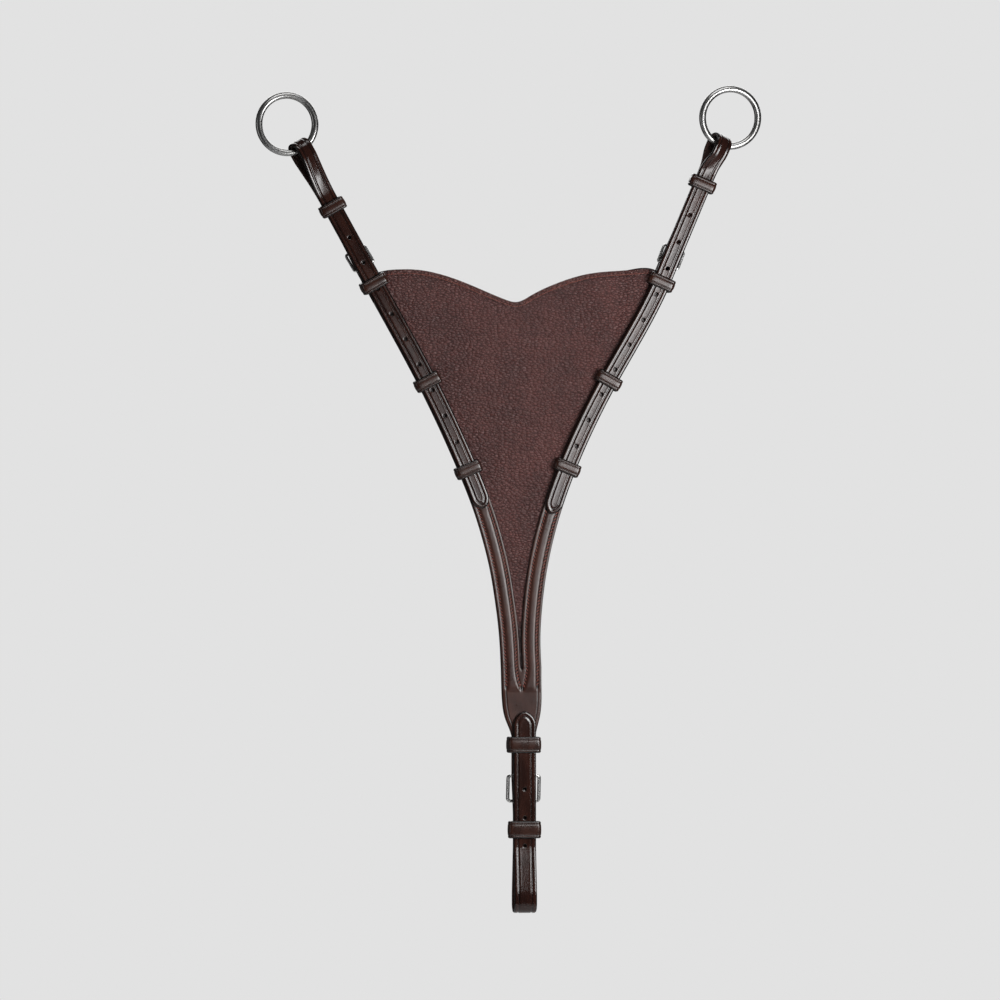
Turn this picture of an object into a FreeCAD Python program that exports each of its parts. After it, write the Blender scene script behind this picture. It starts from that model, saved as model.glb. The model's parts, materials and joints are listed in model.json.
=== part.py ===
import FreeCAD, Part
import Sketcher
import math
import os

# Bib running-martingale attachment for a horse's breastplate, as it hangs: +Z up, front towards -Y.
# A forked leather strap carries a heart-topped bib between its arms. Each arm's end is turned round
# the heel bar of a small rear-facing buckle, which holds an adjustable strap folded through a steel
# rein ring. The fork's neck holds the wider bottom strap in the same way, folded into the loop that
# takes the breastplate's centre ring. The origin is the middle of that loop, in the plane of the rings.

Vector = FreeCAD.Vector
Placement = FreeCAD.Placement
Rotation = FreeCAD.Rotation

# Driving dimensions in millimetres and degrees.
SIZES = {
    # leather
    "strap_thickness": 2.8,
    "fork_ply": 2.0,
    "fork_lining_ply": 1.2,
    "bib_ply": 1.2,
    "bib_lining_ply": 0.6,
    "layer_gap": 0.3,
    "side_width": 15.6,
    "bottom_width": 20.0,
    "arm_half_width": 8.4,
    "side_turn_width": 15.0,
    "bottom_turn_width": 19.6,
    "turned_end": 28.0,
    "strap_end_gap": 3.0,
    "tail_length": 32.0,
    "side_point_length": 10.0,
    "bottom_point_length": 12.0,
    "punch_radius": 1.5,
    "hole_pitch": 25.0,
    # rings and the folds that hold them
    "ring_radius": 25.0,
    "ring_wire_radius": 3.0,
    "left_ring_turn": 6.0,
    "right_ring_turn": 6.0,
    "fold_radius": 7.2,
    "fold_shoulder": 8.0,
    "runs_part_after": 7.5,
    "runs_meet_after": 12.0,
    # buckles
    "side_bar": 2.4,
    "bottom_bar": 3.0,
    "side_frame_width": 18.9,
    "bottom_frame_width": 27.4,
    "side_frame_length": 16.2,
    "bottom_frame_length": 22.2,
    "side_tongue_radius": 1.0,
    "bottom_tongue_radius": 1.2,
    "tongue_eye_wall": 1.7,
    "tongue_eye_gap": 0.15,
    "tongue_slot": 4.2,
    "pin_slot": 3.4,
    # keepers
    "keeper_wall": 1.8,
    "keeper_side": 2.3,
    "side_keeper_inner": 17.6,
    "bottom_keeper_inner": 22.6,
    "side_keeper_length": 11.0,
    "neck_keeper_length": 14.0,
    "bottom_keeper_length": 15.0,
    "keeper_outer_corner": 2.2,
    "keeper_inner_corner": 0.8,
    # heel bars: where the three buckles hinge, and how each strap leans from upright
    "left_heel_x": -140.3,
    "left_heel_z": 553.7,
    "left_lean": -29.0,
    "right_heel_x": 127.1,
    "right_heel_z": 555.4,
    "right_lean": 23.0,
    "bottom_heel_x": 0.0,
    "bottom_heel_z": 110.8,
    "bottom_lean": 180.0,
    # along each strap from its heel bar: the ring's or loop's centre, the runner and its flare
    "left_fold_at": 116.0,
    "right_fold_at": 115.0,
    "bottom_fold_at": 110.8,
    "left_runner_at": 58.6,
    "right_runner_at": 77.0,
    "bottom_runner_at": 47.0,
    "neck_keeper_z": 137.6,
    "bottom_tip_z": 167.6,
}

# Centre lines of the fork's arms from the heel bar down to the neck, as X and Z. The second, third
# and fourth points are where the fixed keepers sit.
ARM_ROUTES = {
    "left": [
        (-140.3, 553.7), (-132.2, 539.1), (-85.3, 453.8), (-49.2, 376.8), (-35.7, 342.4),
        (-27.1, 314.2), (-21.8, 292.4), (-17.5, 267.2), (-13.5, 235.0), (-11.8, 204.6),
    ],
    "right": [
        (127.1, 555.4), (120.8, 540.5), (74.0, 454.7), (37.4, 378.6), (23.0, 338.0),
        (16.0, 311.6), (10.9, 285.5), (7.2, 255.0), (5.9, 228.9), (6.8, 204.4),
    ],
}
KEEPER_POINTS = {"upper": 1, "middle": 2, "lower": 3}
TIP_POINT = 4

# Distance along each front run from the heel bar to the punched holes.
BILLET_FIRST_HOLE = {"left": 22.4, "right": 27.8}
BILLET_HOLES = 7
LOOP_HOLES = {"left": [28.4], "right": [22.0, 47.6], "bottom": [11.7, 36.7]}

# The bib's heart-shaped top edge, from the left arm through the notch to the right arm.
TOP_EDGE = [
    (-136.0, 546.0), (-126.6, 549.1), (-98.0, 550.6), (-68.0, 544.9), (-38.0, 533.4),
    (-16.3, 524.5), (-6.8, 522.4), (6.0, 527.9), (30.9, 539.5), (57.0, 547.1),
    (86.0, 550.0), (113.5, 552.1), (122.0, 548.0),
]
BIB_UNDER_ARM = 5.0
BIB_LAST_POINT = 10
BINDING_ENDS = [(-120.5, 549.8), (110.0, 551.8)]
BINDING_DROP = 4.2
BINDING_WRAP = 0.6

# The neck below the arms, outer edges only.
NECK_LEFT = [(-19.8, 190.0), (-18.9, 173.2), (-16.6, 161.1), (-12.2, 150.0), (-10.2, 142.0)]
NECK_RIGHT = [(15.2, 190.0), (15.0, 170.0), (13.0, 158.4), (10.6, 148.5), (10.0, 140.0)]

ARM_SETBACK = 7.0
NECK_SETBACK = 7.0

# Depth of the rear run from the heel bar where it passes in front of the tip bar.
PASSING_DEPTH = 0.1

# Bend radii of a strap's middle line, from the front run over the fold to the buckle. None is the fold.
STRAP_BENDS = [30.0, 25.0, None, None, 25.0, 30.0, 15.0, 6.0]

# How far a strap's rounded point bulges past straight edges, as a share of their length.
POINT_BULGE = 0.12

# Buckle frame's corners and the rounding of its bars, and the tongue's eye, as shares of the bar.
FRAME_OUTER_CORNER = 1.1
FRAME_INNER_CORNER = 0.4
FRAME_ROUNDING = 0.42
TONGUE_EYE_WIDTH = 1.2

# Room between a sliding keeper and the runs inside it, in layer gaps.
SLIDING_ROOM = 4 / 3

# Room left in the strap round the tongue's pin: in front of it, behind it, and short of its two ends.
PIN_ROOM_FRONT = 0.4
PIN_ROOM_BEHIND = 1.7
PIN_ROOM_EYE = 1.5
PIN_ROOM_TIP = 2.5

doc = FreeCAD.newDocument("breastplate")
sheet = doc.addObject("Spreadsheet::Sheet", "sizes")
for row, (alias, value) in enumerate(SIZES.items(), start=1):
    sheet.set(f"A{row}", alias)
    sheet.set(f"B{row}", str(value))
    sheet.setAlias(f"B{row}", alias)
doc.recompute()

nodes = []


def size(alias):
    """Value of a cell of the sheet."""
    return float(sheet.get(alias))


# Depths, from the ring plane backwards. The front run lies in front of that plane.
RUN_DEPTH = (size("strap_thickness") + size("layer_gap")) / 2
FORK_FRONT = size("layer_gap") / 2
FORK_BACK = FORK_FRONT + size("fork_ply")
BIB_BACK = FORK_BACK + size("bib_ply")
BIB_LINING_BACK = BIB_BACK + size("bib_lining_ply")
FORK_LINING_BACK = BIB_LINING_BACK + size("fork_lining_ply")


def unit_kind(side):
    """Cell prefix shared by both ring straps, or that of the bottom strap."""
    return "bottom" if side == "bottom" else "side"


def turn_inner(side):
    """Inside radius of the turned end, which leaves the heel bar free to turn."""
    return size(f"{unit_kind(side)}_bar") / 2 + size("layer_gap")


def heel_depth(side):
    """Depth of the heel bar, so that the turned end runs on from the fork's front ply."""
    return FORK_BACK + turn_inner(side)


def tail_depth(side):
    """Depth of the rear run's tail, measured from the heel bar."""
    return turn_inner(side) + size("fork_ply") + size("layer_gap") + size("strap_thickness") / 2


def unit_place(side):
    """Frame of one strap: X across it, Y backwards, Z from the heel bar towards the fold."""
    heel = Vector(size(f"{side}_heel_x"), heel_depth(side), size(f"{side}_heel_z"))
    return Placement(heel, Rotation(Vector(0, 1, 0), size(f"{side}_lean")))


def crossing(side):
    """Place of the tip bar behind the rear run: its depth and distance from the heel bar."""
    bar = size(f"{unit_kind(side)}_bar")
    tip_depth = PASSING_DEPTH + size("strap_thickness") / 2 + size("layer_gap") + bar / 2
    tip_along = math.sqrt(size(f"{unit_kind(side)}_frame_length") ** 2 - tip_depth ** 2)
    return tip_depth, tip_along


def tongue_line(side):
    """Middle line of the tongue's pin, from the eye to just past the tip bar, as depth and distance."""
    tip_depth, tip_along = crossing(side)
    bar = size(f"{unit_kind(side)}_bar")
    pin = size(f"{unit_kind(side)}_tongue_radius")
    start = Vector(bar / 2, bar * 0.8, 0)
    rest = Vector(tip_depth + bar / 2 + pin + size("layer_gap"), tip_along, 0)
    along = (rest - start).normalize()
    return start, rest + along * bar * 0.8


def add(part, label):
    """Name a finished sub-part and remember it for export."""
    part.Label = label
    nodes.append(part)
    return part


def body_at(name, place):
    body = doc.addObject("PartDesign::Body", name)
    body.Placement = place
    return body


def sketch_on(body, role, edges, lift=0.0):
    """Sketch on one of the body's own origin planes, lifted along that plane's normal."""
    sketch = body.newObject("Sketcher::SketchObject", f"{body.Name}_sketch")
    plane = next(item for item in body.Origin.OriginFeatures if item.Role == role)
    sketch.AttachmentSupport = [(plane, "")]
    sketch.MapMode = "FlatFace"
    sketch.AttachmentOffset = Placement(Vector(0, 0, lift), Rotation())
    for edge in edges:
        sketch.addGeometry(edge, False)
    return sketch


def pad(body, sketch, cell, midplane=False):
    feature = body.newObject("PartDesign::Pad", f"{body.Name}_pad")
    feature.Profile = sketch
    feature.setExpression("Length", f"sizes.{cell}")
    feature.Midplane = midplane
    return feature


def punch(body, centres, lift):
    """Round holes through the leather that lies in front of the lifted XZ plane."""
    radius = size("punch_radius")
    circles = [Part.Circle(Vector(x, z, 0), Vector(0, 0, 1), radius) for x, z in centres]
    sketch = sketch_on(body, "XZ_Plane", circles, lift)
    for index in range(len(circles)):
        rule = sketch.addConstraint(Sketcher.Constraint("Radius", index, radius))
        sketch.setExpression(f"Constraints[{rule}]", "sizes.punch_radius")
    cut = body.newObject("PartDesign::Pocket", f"{body.Name}_holes")
    cut.Profile = sketch
    cut.Type = "ThroughAll"
    cut.Reversed = True
    return cut


def closed(points):
    """Straight edges joining the points in a ring."""
    flat = [Vector(x, y, 0) for x, y in points]
    return [Part.LineSegment(a, b) for a, b in zip(flat, flat[1:] + flat[:1])]


def curve(points):
    """Smooth curve through plan points."""
    spline = Part.BSplineCurve()
    spline.interpolate([Vector(x, z, 0) for x, z in points])
    return spline


def line(a, b):
    return Part.LineSegment(Vector(*a, 0), Vector(*b, 0))


def rounded_rectangle(width, low, high, radius):
    """Closed outline centred on X, between two heights, with round corners."""
    half = width / 2
    bend = radius * (1 - math.sqrt(0.5))
    edges = [
        line((-half + radius, low), (half - radius, low)),
        line((half, low + radius), (half, high - radius)),
        line((half - radius, high), (-half + radius, high)),
        line((-half, high - radius), (-half, low + radius)),
    ]
    for sx, y, sy in ((1, low, 1), (1, high, -1), (-1, high, -1), (-1, low, 1)):
        edges.append(Part.Arc(
            Vector(sx * (half - radius), y, 0),
            Vector(sx * (half - bend), y + sy * bend, 0),
            Vector(sx * half, y + sy * radius, 0),
        ))
    return edges


def ribbon(points, radii, thickness):
    """Outline of a strap seen from its edge: straight runs joined by tangent bends."""
    path = [Vector(*point, 0) for point in points]
    runs = [(b - a).normalize() for a, b in zip(path, path[1:])]
    normals = [Vector(-run.y, run.x, 0) for run in runs]
    cuts = [0.0]
    for before, after, radius in zip(runs, runs[1:], radii):
        cuts.append(radius * math.tan(before.getAngle(after) / 2))
    cuts.append(0.0)
    sides = []
    for half in (thickness / 2, -thickness / 2):
        edges = []
        for index, (run, normal) in enumerate(zip(runs, normals)):
            start = path[index] + run * cuts[index] + normal * half
            end = path[index + 1] - run * cuts[index + 1] + normal * half
            if (end - start).Length > 1e-6:
                edges.append(Part.LineSegment(start, end))
            if index + 1 < len(runs):
                after, next_normal = runs[index + 1], normals[index + 1]
                turn = 1 if run.cross(after).z > 0 else -1
                begin = path[index + 1] - run * cuts[index + 1]
                centre = begin + normal * radii[index] * turn
                middle = (normal + next_normal).normalize() * -turn
                reach = radii[index] - turn * half
                finish = path[index + 1] + after * cuts[index + 1] + next_normal * half
                edges.append(Part.Arc(begin + normal * half, centre + middle * reach, finish))
        sides.append(edges)
    first, last = path[0], path[-1]
    half = thickness / 2
    caps = [
        Part.LineSegment(first + normals[0] * half, first - normals[0] * half),
        Part.LineSegment(last + normals[-1] * half, last - normals[-1] * half),
    ]
    return sides[0] + sides[1] + caps


def offset_points(route, distance):
    """Points beside a plan route, to its left when the distance is positive, seen from the front."""
    spline = curve(route)
    shifted = []
    for x, z in route:
        tangent = Vector(*spline.tangent(spline.parameter(Vector(x, z, 0)))[0])
        shifted.append((x - tangent.y * distance, z + tangent.x * distance))
    return shifted


def along_route(route, distance):
    """Point at a distance along a plan route, with the direction there."""
    spline = curve(route)
    parameter = spline.parameterAtDistance(distance, spline.FirstParameter)
    point = spline.value(parameter)
    tangent = Vector(*spline.tangent(parameter)[0])
    return (point.x, point.y), (tangent.x, tangent.y)


def from_distance(side, distance):
    """Arm route that starts a distance below the heel bar."""
    start, _ = along_route(ARM_ROUTES[side], distance)
    return [start] + ARM_ROUTES[side][1:]


def pointed_end(left, right, tip):
    """Rounded point of a strap: an arc from each edge to the tip."""
    edges = []
    for edge, other in ((left, right), (right, left)):
        shoulder = Vector(*edge, 0)
        apex = Vector(*tip, 0)
        across = (Vector(*edge, 0) - Vector(*other, 0)).normalize()
        middle = (shoulder + apex) * 0.5 + across * (shoulder - apex).Length * POINT_BULGE
        edges.append(Part.Arc(shoulder, middle, apex))
    return edges


# ---- fork -----------------------------------------------------------------------------------

def fork_outline(setback, neck_end):
    """Plan outline of the fork, with its arms' ends set back from the heel bars."""
    half = size("arm_half_width")
    left = from_distance("left", setback) if setback else ARM_ROUTES["left"]
    right = from_distance("right", setback) if setback else ARM_ROUTES["right"]
    left_outer = offset_points(left, -half) + NECK_LEFT
    left_inner = offset_points(left, half)
    right_outer = offset_points(right, half) + NECK_RIGHT
    right_inner = offset_points(right, -half)
    left_foot = (NECK_LEFT[-1][0], neck_end)
    right_foot = (NECK_RIGHT[-1][0], neck_end)
    return [
        curve(left_outer),
        curve(left_inner),
        curve(right_outer),
        curve(right_inner),
        line(left_outer[0], left_inner[0]),
        line(right_outer[0], right_inner[0]),
        line(left_inner[-1], right_inner[-1]),
        line(left_outer[-1], left_foot),
        line(left_foot, right_foot),
        line(right_foot, right_outer[-1]),
    ]


def turned_end(side):
    """The end that turns back round the heel bar, and its slot for the tongue."""
    kind = unit_kind(side)
    ply = size("fork_ply")
    radius = turn_inner(side) + ply / 2
    path = [(-radius, -1.0), (-radius, radius), (radius, radius), (radius, -size("turned_end"))]
    body = body_at(f"{side}_turn", unit_place(side))
    outline = sketch_on(body, "YZ_Plane", ribbon(path, [radius, radius], ply))
    pad(body, outline, f"{kind}_turn_width", midplane=True)
    reach = radius + ply
    square = closed([(-reach, -reach), (reach, -reach), (reach, reach), (-reach, reach)])
    cut = body.newObject("PartDesign::Pocket", f"{side}_tongue_slot")
    cut.Profile = sketch_on(body, "YZ_Plane", square)
    cut.setExpression("Length", "sizes.tongue_slot")
    cut.Midplane = True
    return body


def slot_block(side):
    """Space that the tongue's eye needs through the end of the fork's flat ply."""
    reach = turn_inner(side) + size("fork_ply") * 1.5
    block = doc.addObject("Part::Box", f"{side}_slot_block")
    block.setExpression("Length", "sizes.tongue_slot")
    block.Width = 2 * reach
    block.Height = 2 * reach
    corner = Placement(Vector(-size("tongue_slot") / 2, -reach, -reach), Rotation())
    block.Placement = unit_place(side).multiply(corner)
    return block


def fork_front():
    flat = body_at("fork_flat", Placement(Vector(0, FORK_BACK, 0), Rotation()))
    outline = fork_outline(0.0, size("bottom_heel_z"))
    pad(flat, sketch_on(flat, "XZ_Plane", outline), "fork_ply")
    whole = doc.addObject("Part::MultiFuse", "fork_whole")
    whole.Shapes = [flat] + [turned_end(side) for side in ("left", "right", "bottom")]
    slots = doc.addObject("Part::MultiFuse", "fork_slots")
    slots.Shapes = [slot_block(side) for side in ("left", "right", "bottom")]
    fork = doc.addObject("Part::Cut", "fork_cut")
    fork.Base = whole
    fork.Tool = slots
    add(fork, "fork_front")


def fork_lining():
    body = body_at("fork_lining", Placement(Vector(0, FORK_LINING_BACK, 0), Rotation()))
    outline = fork_outline(ARM_SETBACK, size("bottom_heel_z") + NECK_SETBACK)
    pad(body, sketch_on(body, "XZ_Plane", outline), "fork_lining_ply")
    add(body, "fork_lining")


# ---- bib ------------------------------------------------------------------------------------

def bib_outline():
    left = offset_points(ARM_ROUTES["left"], -BIB_UNDER_ARM)[1:BIB_LAST_POINT]
    right = offset_points(ARM_ROUTES["right"], BIB_UNDER_ARM)[1:BIB_LAST_POINT]
    return [
        curve(TOP_EDGE),
        curve(left),
        curve(right),
        line(TOP_EDGE[0], left[0]),
        line(TOP_EDGE[-1], right[0]),
        line(left[-1], right[-1]),
    ]


def bib_layer(label, back, cell, keepers):
    """One layer of the bib, slit where the fixed keepers pass through it."""
    blank = body_at(f"{label}_blank", Placement(Vector(0, back, 0), Rotation()))
    pad(blank, sketch_on(blank, "XZ_Plane", bib_outline()), cell)
    layer = doc.addObject("Part::Cut", f"{label}_cut")
    layer.Base = blank
    layer.Tool = keepers
    return blank, add(layer, label)


def top_binding(layers):
    """Narrow binding folded over the bib's top edge, stopping short of the arms."""
    route = BINDING_ENDS[:1] + TOP_EDGE[2:-2] + BINDING_ENDS[1:]
    raised = [(x, z + BINDING_WRAP) for x, z in route]
    lowered = [(x, z - BINDING_DROP) for x, z in route]
    edges = [curve(raised), curve(lowered)]
    edges.append(line(raised[0], lowered[0]))
    edges.append(line(raised[-1], lowered[-1]))
    back = BIB_LINING_BACK + BINDING_WRAP
    body = body_at("binding_strip", Placement(Vector(0, back, 0), Rotation()))
    feature = pad(body, sketch_on(body, "XZ_Plane", edges), "bib_ply")
    feature.setExpression("Length", f"sizes.bib_ply + sizes.bib_lining_ply + {2 * BINDING_WRAP}")
    core = doc.addObject("Part::MultiFuse", "binding_core")
    core.Shapes = layers
    binding = doc.addObject("Part::Cut", "binding_cut")
    binding.Base = body
    binding.Tool = core
    return binding


# ---- straps ---------------------------------------------------------------------------------

def strap_loop(side):
    """Ring strap or bottom strap above its heel bar: front run, fold, rear run through the buckle."""
    kind = unit_kind(side)
    depth = heel_depth(side)
    fold = size("fold_radius")
    fold_at = size(f"{side}_fold_at")
    gap = size("strap_end_gap")
    flare = size(f"{side}_runner_at") + size(f"{kind}_keeper_length") / 2 + size("runs_part_after")
    _, tip_along = crossing(side)
    front = -RUN_DEPTH - depth
    rear = RUN_DEPTH - depth
    shoulder = fold_at - size("fold_shoulder")
    path = [
        (front, gap),
        (front, flare),
        (-fold - depth, shoulder),
        (-fold - depth, fold_at + fold),
        (fold - depth, fold_at + fold),
        (fold - depth, shoulder),
        (rear, flare),
        (rear, tip_along + size("runs_meet_after")),
        (PASSING_DEPTH, tip_along),
        (tail_depth(side), gap),
    ]
    radii = [fold if radius is None else radius for radius in STRAP_BENDS]
    body = body_at(f"{side}_strap", unit_place(side))
    outline = sketch_on(body, "YZ_Plane", ribbon(path, radii, size("strap_thickness")))
    pad(body, outline, f"{kind}_width", midplane=True)
    punch(body, [(0.0, at) for at in LOOP_HOLES[side]], depth)
    pin_slot(body, side)
    add(body, f"{side}_strap_loop")


def pin_slot(body, side):
    """Hole in the rear run that the tongue's pin passes through, long enough for its lift."""
    start, end = tongue_line(side)
    along = (end - start).normalize()
    back = Vector(along.y, -along.x, 0)
    pin = size(f"{unit_kind(side)}_tongue_radius")
    before = back * -(pin + PIN_ROOM_FRONT)
    behind = back * (pin + PIN_ROOM_BEHIND)
    low = start + along * PIN_ROOM_EYE
    high = end - along * PIN_ROOM_TIP
    corners = [low + before, high + before, high + behind, low + behind]
    sketch = sketch_on(body, "YZ_Plane", closed([(p.x, p.y) for p in corners]))
    cut = body.newObject("PartDesign::Pocket", f"{side}_pin_slot")
    cut.Profile = sketch
    cut.setExpression("Length", "sizes.pin_slot")
    cut.Midplane = True


def strap_tail(side):
    """End of the rear run, which lies behind the turned end."""
    kind = unit_kind(side)
    tail = doc.addObject("Part::Box", f"{side}_tail")
    tail.setExpression("Length", f"sizes.{kind}_width")
    tail.setExpression("Width", "sizes.strap_thickness")
    tail.setExpression("Height", "sizes.tail_length - sizes.strap_end_gap")
    front = tail_depth(side) - size("strap_thickness") / 2
    corner = Vector(-size(f"{kind}_width") / 2, front, -size("tail_length"))
    tail.Placement = unit_place(side).multiply(Placement(corner, Rotation()))
    add(tail, f"{side}_strap_tail")


def side_billet(side):
    """Front run below the heel bar: lies on the arm, punched, and ends in a rounded point."""
    half = size("side_width") / 2
    route = from_distance(side, size("strap_end_gap"))[:TIP_POINT + 1]
    tip = route[-1]
    full = curve(route)
    end = full.parameterAtDistance(-size("side_point_length"), full.LastParameter)
    shoulder = full.value(end)
    route = route[:-1] + [(shoulder.x, shoulder.y)]
    left = offset_points(route, -half)
    right = offset_points(route, half)
    edges = [curve(left), curve(right), line(left[0], right[0])]
    edges += pointed_end(left[-1], right[-1], tip)
    front_depth = -size("layer_gap") / 2
    body = body_at(f"{side}_billet", Placement(Vector(0, front_depth, 0), Rotation()))
    pad(body, sketch_on(body, "XZ_Plane", edges), "strap_thickness")
    first = BILLET_FIRST_HOLE[side]
    distances = [first + n * size("hole_pitch") for n in range(BILLET_HOLES)]
    punch(body, [along_route(ARM_ROUTES[side], distance)[0] for distance in distances], 0.0)
    add(body, f"{side}_strap_billet")


def bottom_billet():
    """Front run of the bottom strap above its heel bar, up to its point."""
    half = size("bottom_width") / 2
    low = size("bottom_heel_z") + size("strap_end_gap")
    tip_z = size("bottom_tip_z")
    shoulder_z = tip_z - size("bottom_point_length")
    edges = [
        line((-half, low), (half, low)),
        line((-half, low), (-half, shoulder_z)),
        line((half, low), (half, shoulder_z)),
    ] + pointed_end((-half, shoulder_z), (half, shoulder_z), (0.0, tip_z))
    body = body_at("bottom_billet", Placement(Vector(0, -size("layer_gap") / 2, 0), Rotation()))
    pad(body, sketch_on(body, "XZ_Plane", edges), "strap_thickness")
    add(body, "bottom_strap_billet")


# ---- keepers --------------------------------------------------------------------------------

def keeper(label, place, kind, length_cell, front, back):
    """Flat leather loop round a stack of straps, between two depths of its inside."""
    wall = size("keeper_wall")
    inner = size(f"{kind}_keeper_inner")
    outer = inner + 2 * size("keeper_side")
    body = body_at(f"{label}_body", place)
    edges = rounded_rectangle(outer, front - wall, back + wall, size("keeper_outer_corner"))
    edges += rounded_rectangle(inner, front, back, size("keeper_inner_corner"))
    pad(body, sketch_on(body, "XY_Plane", edges), length_cell, midplane=True)
    return add(body, label)


def fixed_keepers():
    """Keepers sewn to the arms and the neck."""
    made = []
    half = size("strap_thickness") / 2
    room = size("layer_gap") / 2
    front = -size("strap_thickness") - size("layer_gap") - room
    behind_tail = heel_depth("left") + tail_depth("left") + half
    for side in ("left", "right"):
        spline = curve(ARM_ROUTES[side])
        for name, index in KEEPER_POINTS.items():
            x, z = ARM_ROUTES[side][index]
            tangent = Vector(*spline.tangent(spline.parameter(Vector(x, z, 0)))[0])
            lean = math.degrees(math.atan2(-tangent.x, -tangent.y))
            place = Placement(Vector(x, 0, z), Rotation(Vector(0, 1, 0), lean))
            back = (behind_tail if name == "upper" else FORK_LINING_BACK) + room
            label = f"{side}_{name}_keeper"
            made.append(keeper(label, place, "side", "side_keeper_length", front, back))
    place = Placement(Vector(0, 0, size("neck_keeper_z")), Rotation())
    back = heel_depth("bottom") + tail_depth("bottom") + half + room
    keeper("neck_keeper", place, "bottom", "neck_keeper_length", front, back)
    return made


def runner(side):
    """Keeper that slides on the two runs of its strap."""
    kind = unit_kind(side)
    at = Vector(0, -heel_depth(side), size(f"{side}_runner_at"))
    place = unit_place(side).multiply(Placement(at, Rotation()))
    reach = RUN_DEPTH + size("strap_thickness") / 2 + size("layer_gap") * SLIDING_ROOM
    keeper(f"{side}_runner", place, kind, f"{kind}_keeper_length", -reach, reach)


# ---- metal ----------------------------------------------------------------------------------

def ring(side):
    """Rein ring, turned a little about its strap's length, as it hangs in the fold."""
    torus = doc.addObject("Part::Torus", f"{side}_torus")
    torus.setExpression("Radius1", "sizes.ring_radius")
    torus.setExpression("Radius2", "sizes.ring_wire_radius")
    centre = Vector(0, -heel_depth(side), size(f"{side}_fold_at") + size("ring_radius"))
    turn = Rotation(Vector(0, 0, 1), size(f"{side}_ring_turn"))
    facing = turn.multiply(Rotation(Vector(1, 0, 0), 90))
    torus.Placement = unit_place(side).multiply(Placement(centre, facing))
    add(torus, f"{side}_ring")


def buckle_frame(side):
    """Rectangular frame with rounded bars, tilted back so that the rear run passes under its tip bar."""
    kind = unit_kind(side)
    bar = size(f"{kind}_bar")
    width = size(f"{kind}_frame_width")
    length = size(f"{kind}_frame_length")
    tip_depth, _ = crossing(side)
    tilt = -math.degrees(math.asin(tip_depth / length))
    place = unit_place(side).multiply(Placement(Vector(), Rotation(Vector(1, 0, 0), tilt)))
    body = body_at(f"{side}_frame", place)
    edges = rounded_rectangle(width + bar, -bar / 2, length + bar / 2, bar * FRAME_OUTER_CORNER)
    edges += rounded_rectangle(width - bar, bar / 2, length - bar / 2, bar * FRAME_INNER_CORNER)
    base = pad(body, sketch_on(body, "XZ_Plane", edges), f"{kind}_bar", midplane=True)
    doc.recompute()
    rounding = body.newObject("PartDesign::Fillet", f"{side}_frame_rounding")
    faces = base.Shape.Faces
    flat = [f"Face{n + 1}" for n, face in enumerate(faces) if abs(face.normalAt(0, 0).y) > 0.99]
    rounding.Base = (base, flat)
    rounding.setExpression("Radius", f"sizes.{kind}_bar * {FRAME_ROUNDING}")
    add(body, f"{side}_buckle_frame")


def tongue(side):
    """Buckle tongue: an eye round the heel bar and a straight pin that rests behind the tip bar."""
    kind = unit_kind(side)
    bar = size(f"{kind}_bar")
    pin = size(f"{kind}_tongue_radius")
    start, end = tongue_line(side)
    eye_width = bar * TONGUE_EYE_WIDTH
    place = unit_place(side)
    across = Placement(Vector(-eye_width / 2, 0, 0), Rotation(Vector(0, 1, 0), 90))
    eye = doc.addObject("Part::Cylinder", f"{side}_eye")
    eye.Radius = bar / 2 + size("tongue_eye_wall")
    eye.Height = eye_width
    eye.Placement = place.multiply(across)
    shaft = doc.addObject("Part::Cylinder", f"{side}_pin")
    shaft.setExpression("Radius", f"sizes.{kind}_tongue_radius")
    shaft.Height = (end - start).Length
    slope = -math.degrees(math.atan2(end.x - start.x, end.y - start.y))
    leaning = Placement(Vector(0, start.x, start.y), Rotation(Vector(1, 0, 0), slope))
    shaft.Placement = place.multiply(leaning)
    whole = doc.addObject("Part::MultiFuse", f"{side}_tongue_blank")
    whole.Shapes = [eye, shaft]
    bore = doc.addObject("Part::Cylinder", f"{side}_tongue_bore")
    bore.Radius = bar / 2 + size("tongue_eye_gap")
    bore.Height = eye_width
    bore.Placement = eye.Placement
    made = doc.addObject("Part::Cut", f"{side}_tongue_cut")
    made.Base = whole
    made.Tool = bore
    add(made, f"{side}_buckle_tongue")


fork_front()
fork_lining()
keepers = doc.addObject("Part::MultiFuse", "keeper_tool")
keepers.Shapes = fixed_keepers()
panel_blank, panel = bib_layer("bib_panel", BIB_BACK, "bib_ply", keepers)
lining_blank, lining = bib_layer("bib_lining", BIB_LINING_BACK, "bib_lining_ply", keepers)
add(top_binding([panel_blank, lining_blank]), "top_binding")
for side in ("left", "right", "bottom"):
    strap_loop(side)
    strap_tail(side)
    runner(side)
    buckle_frame(side)
    tongue(side)
for side in ("left", "right"):
    side_billet(side)
    ring(side)
bottom_billet()
doc.recompute()

for item in doc.Objects:
    faults = [state for state in item.State if state in ("Invalid", "Error")]
    if faults:
        raise RuntimeError(f"{item.Name} {item.Label} is {faults}")
for part in nodes:
    if part.Shape.isNull() or not part.Shape.isValid():
        raise RuntimeError(f"{part.Label} has no valid shape")

os.makedirs("parts", exist_ok=True)
for part in nodes:
    part.Shape.exportStep(os.path.join("parts", f"{part.Label}.step"))
    box = part.Shape.BoundBox
    print(f"{part.Label:24s} solids {len(part.Shape.Solids)} volume {part.Shape.Volume:10.1f} "
          f"size {box.XLength:.1f} {box.YLength:.1f} {box.ZLength:.1f}")
print(len(nodes), "nodes")
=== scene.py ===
import json
import math
import random

import bmesh
import bpy
import numpy as np
from mathutils import Matrix, Vector


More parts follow.
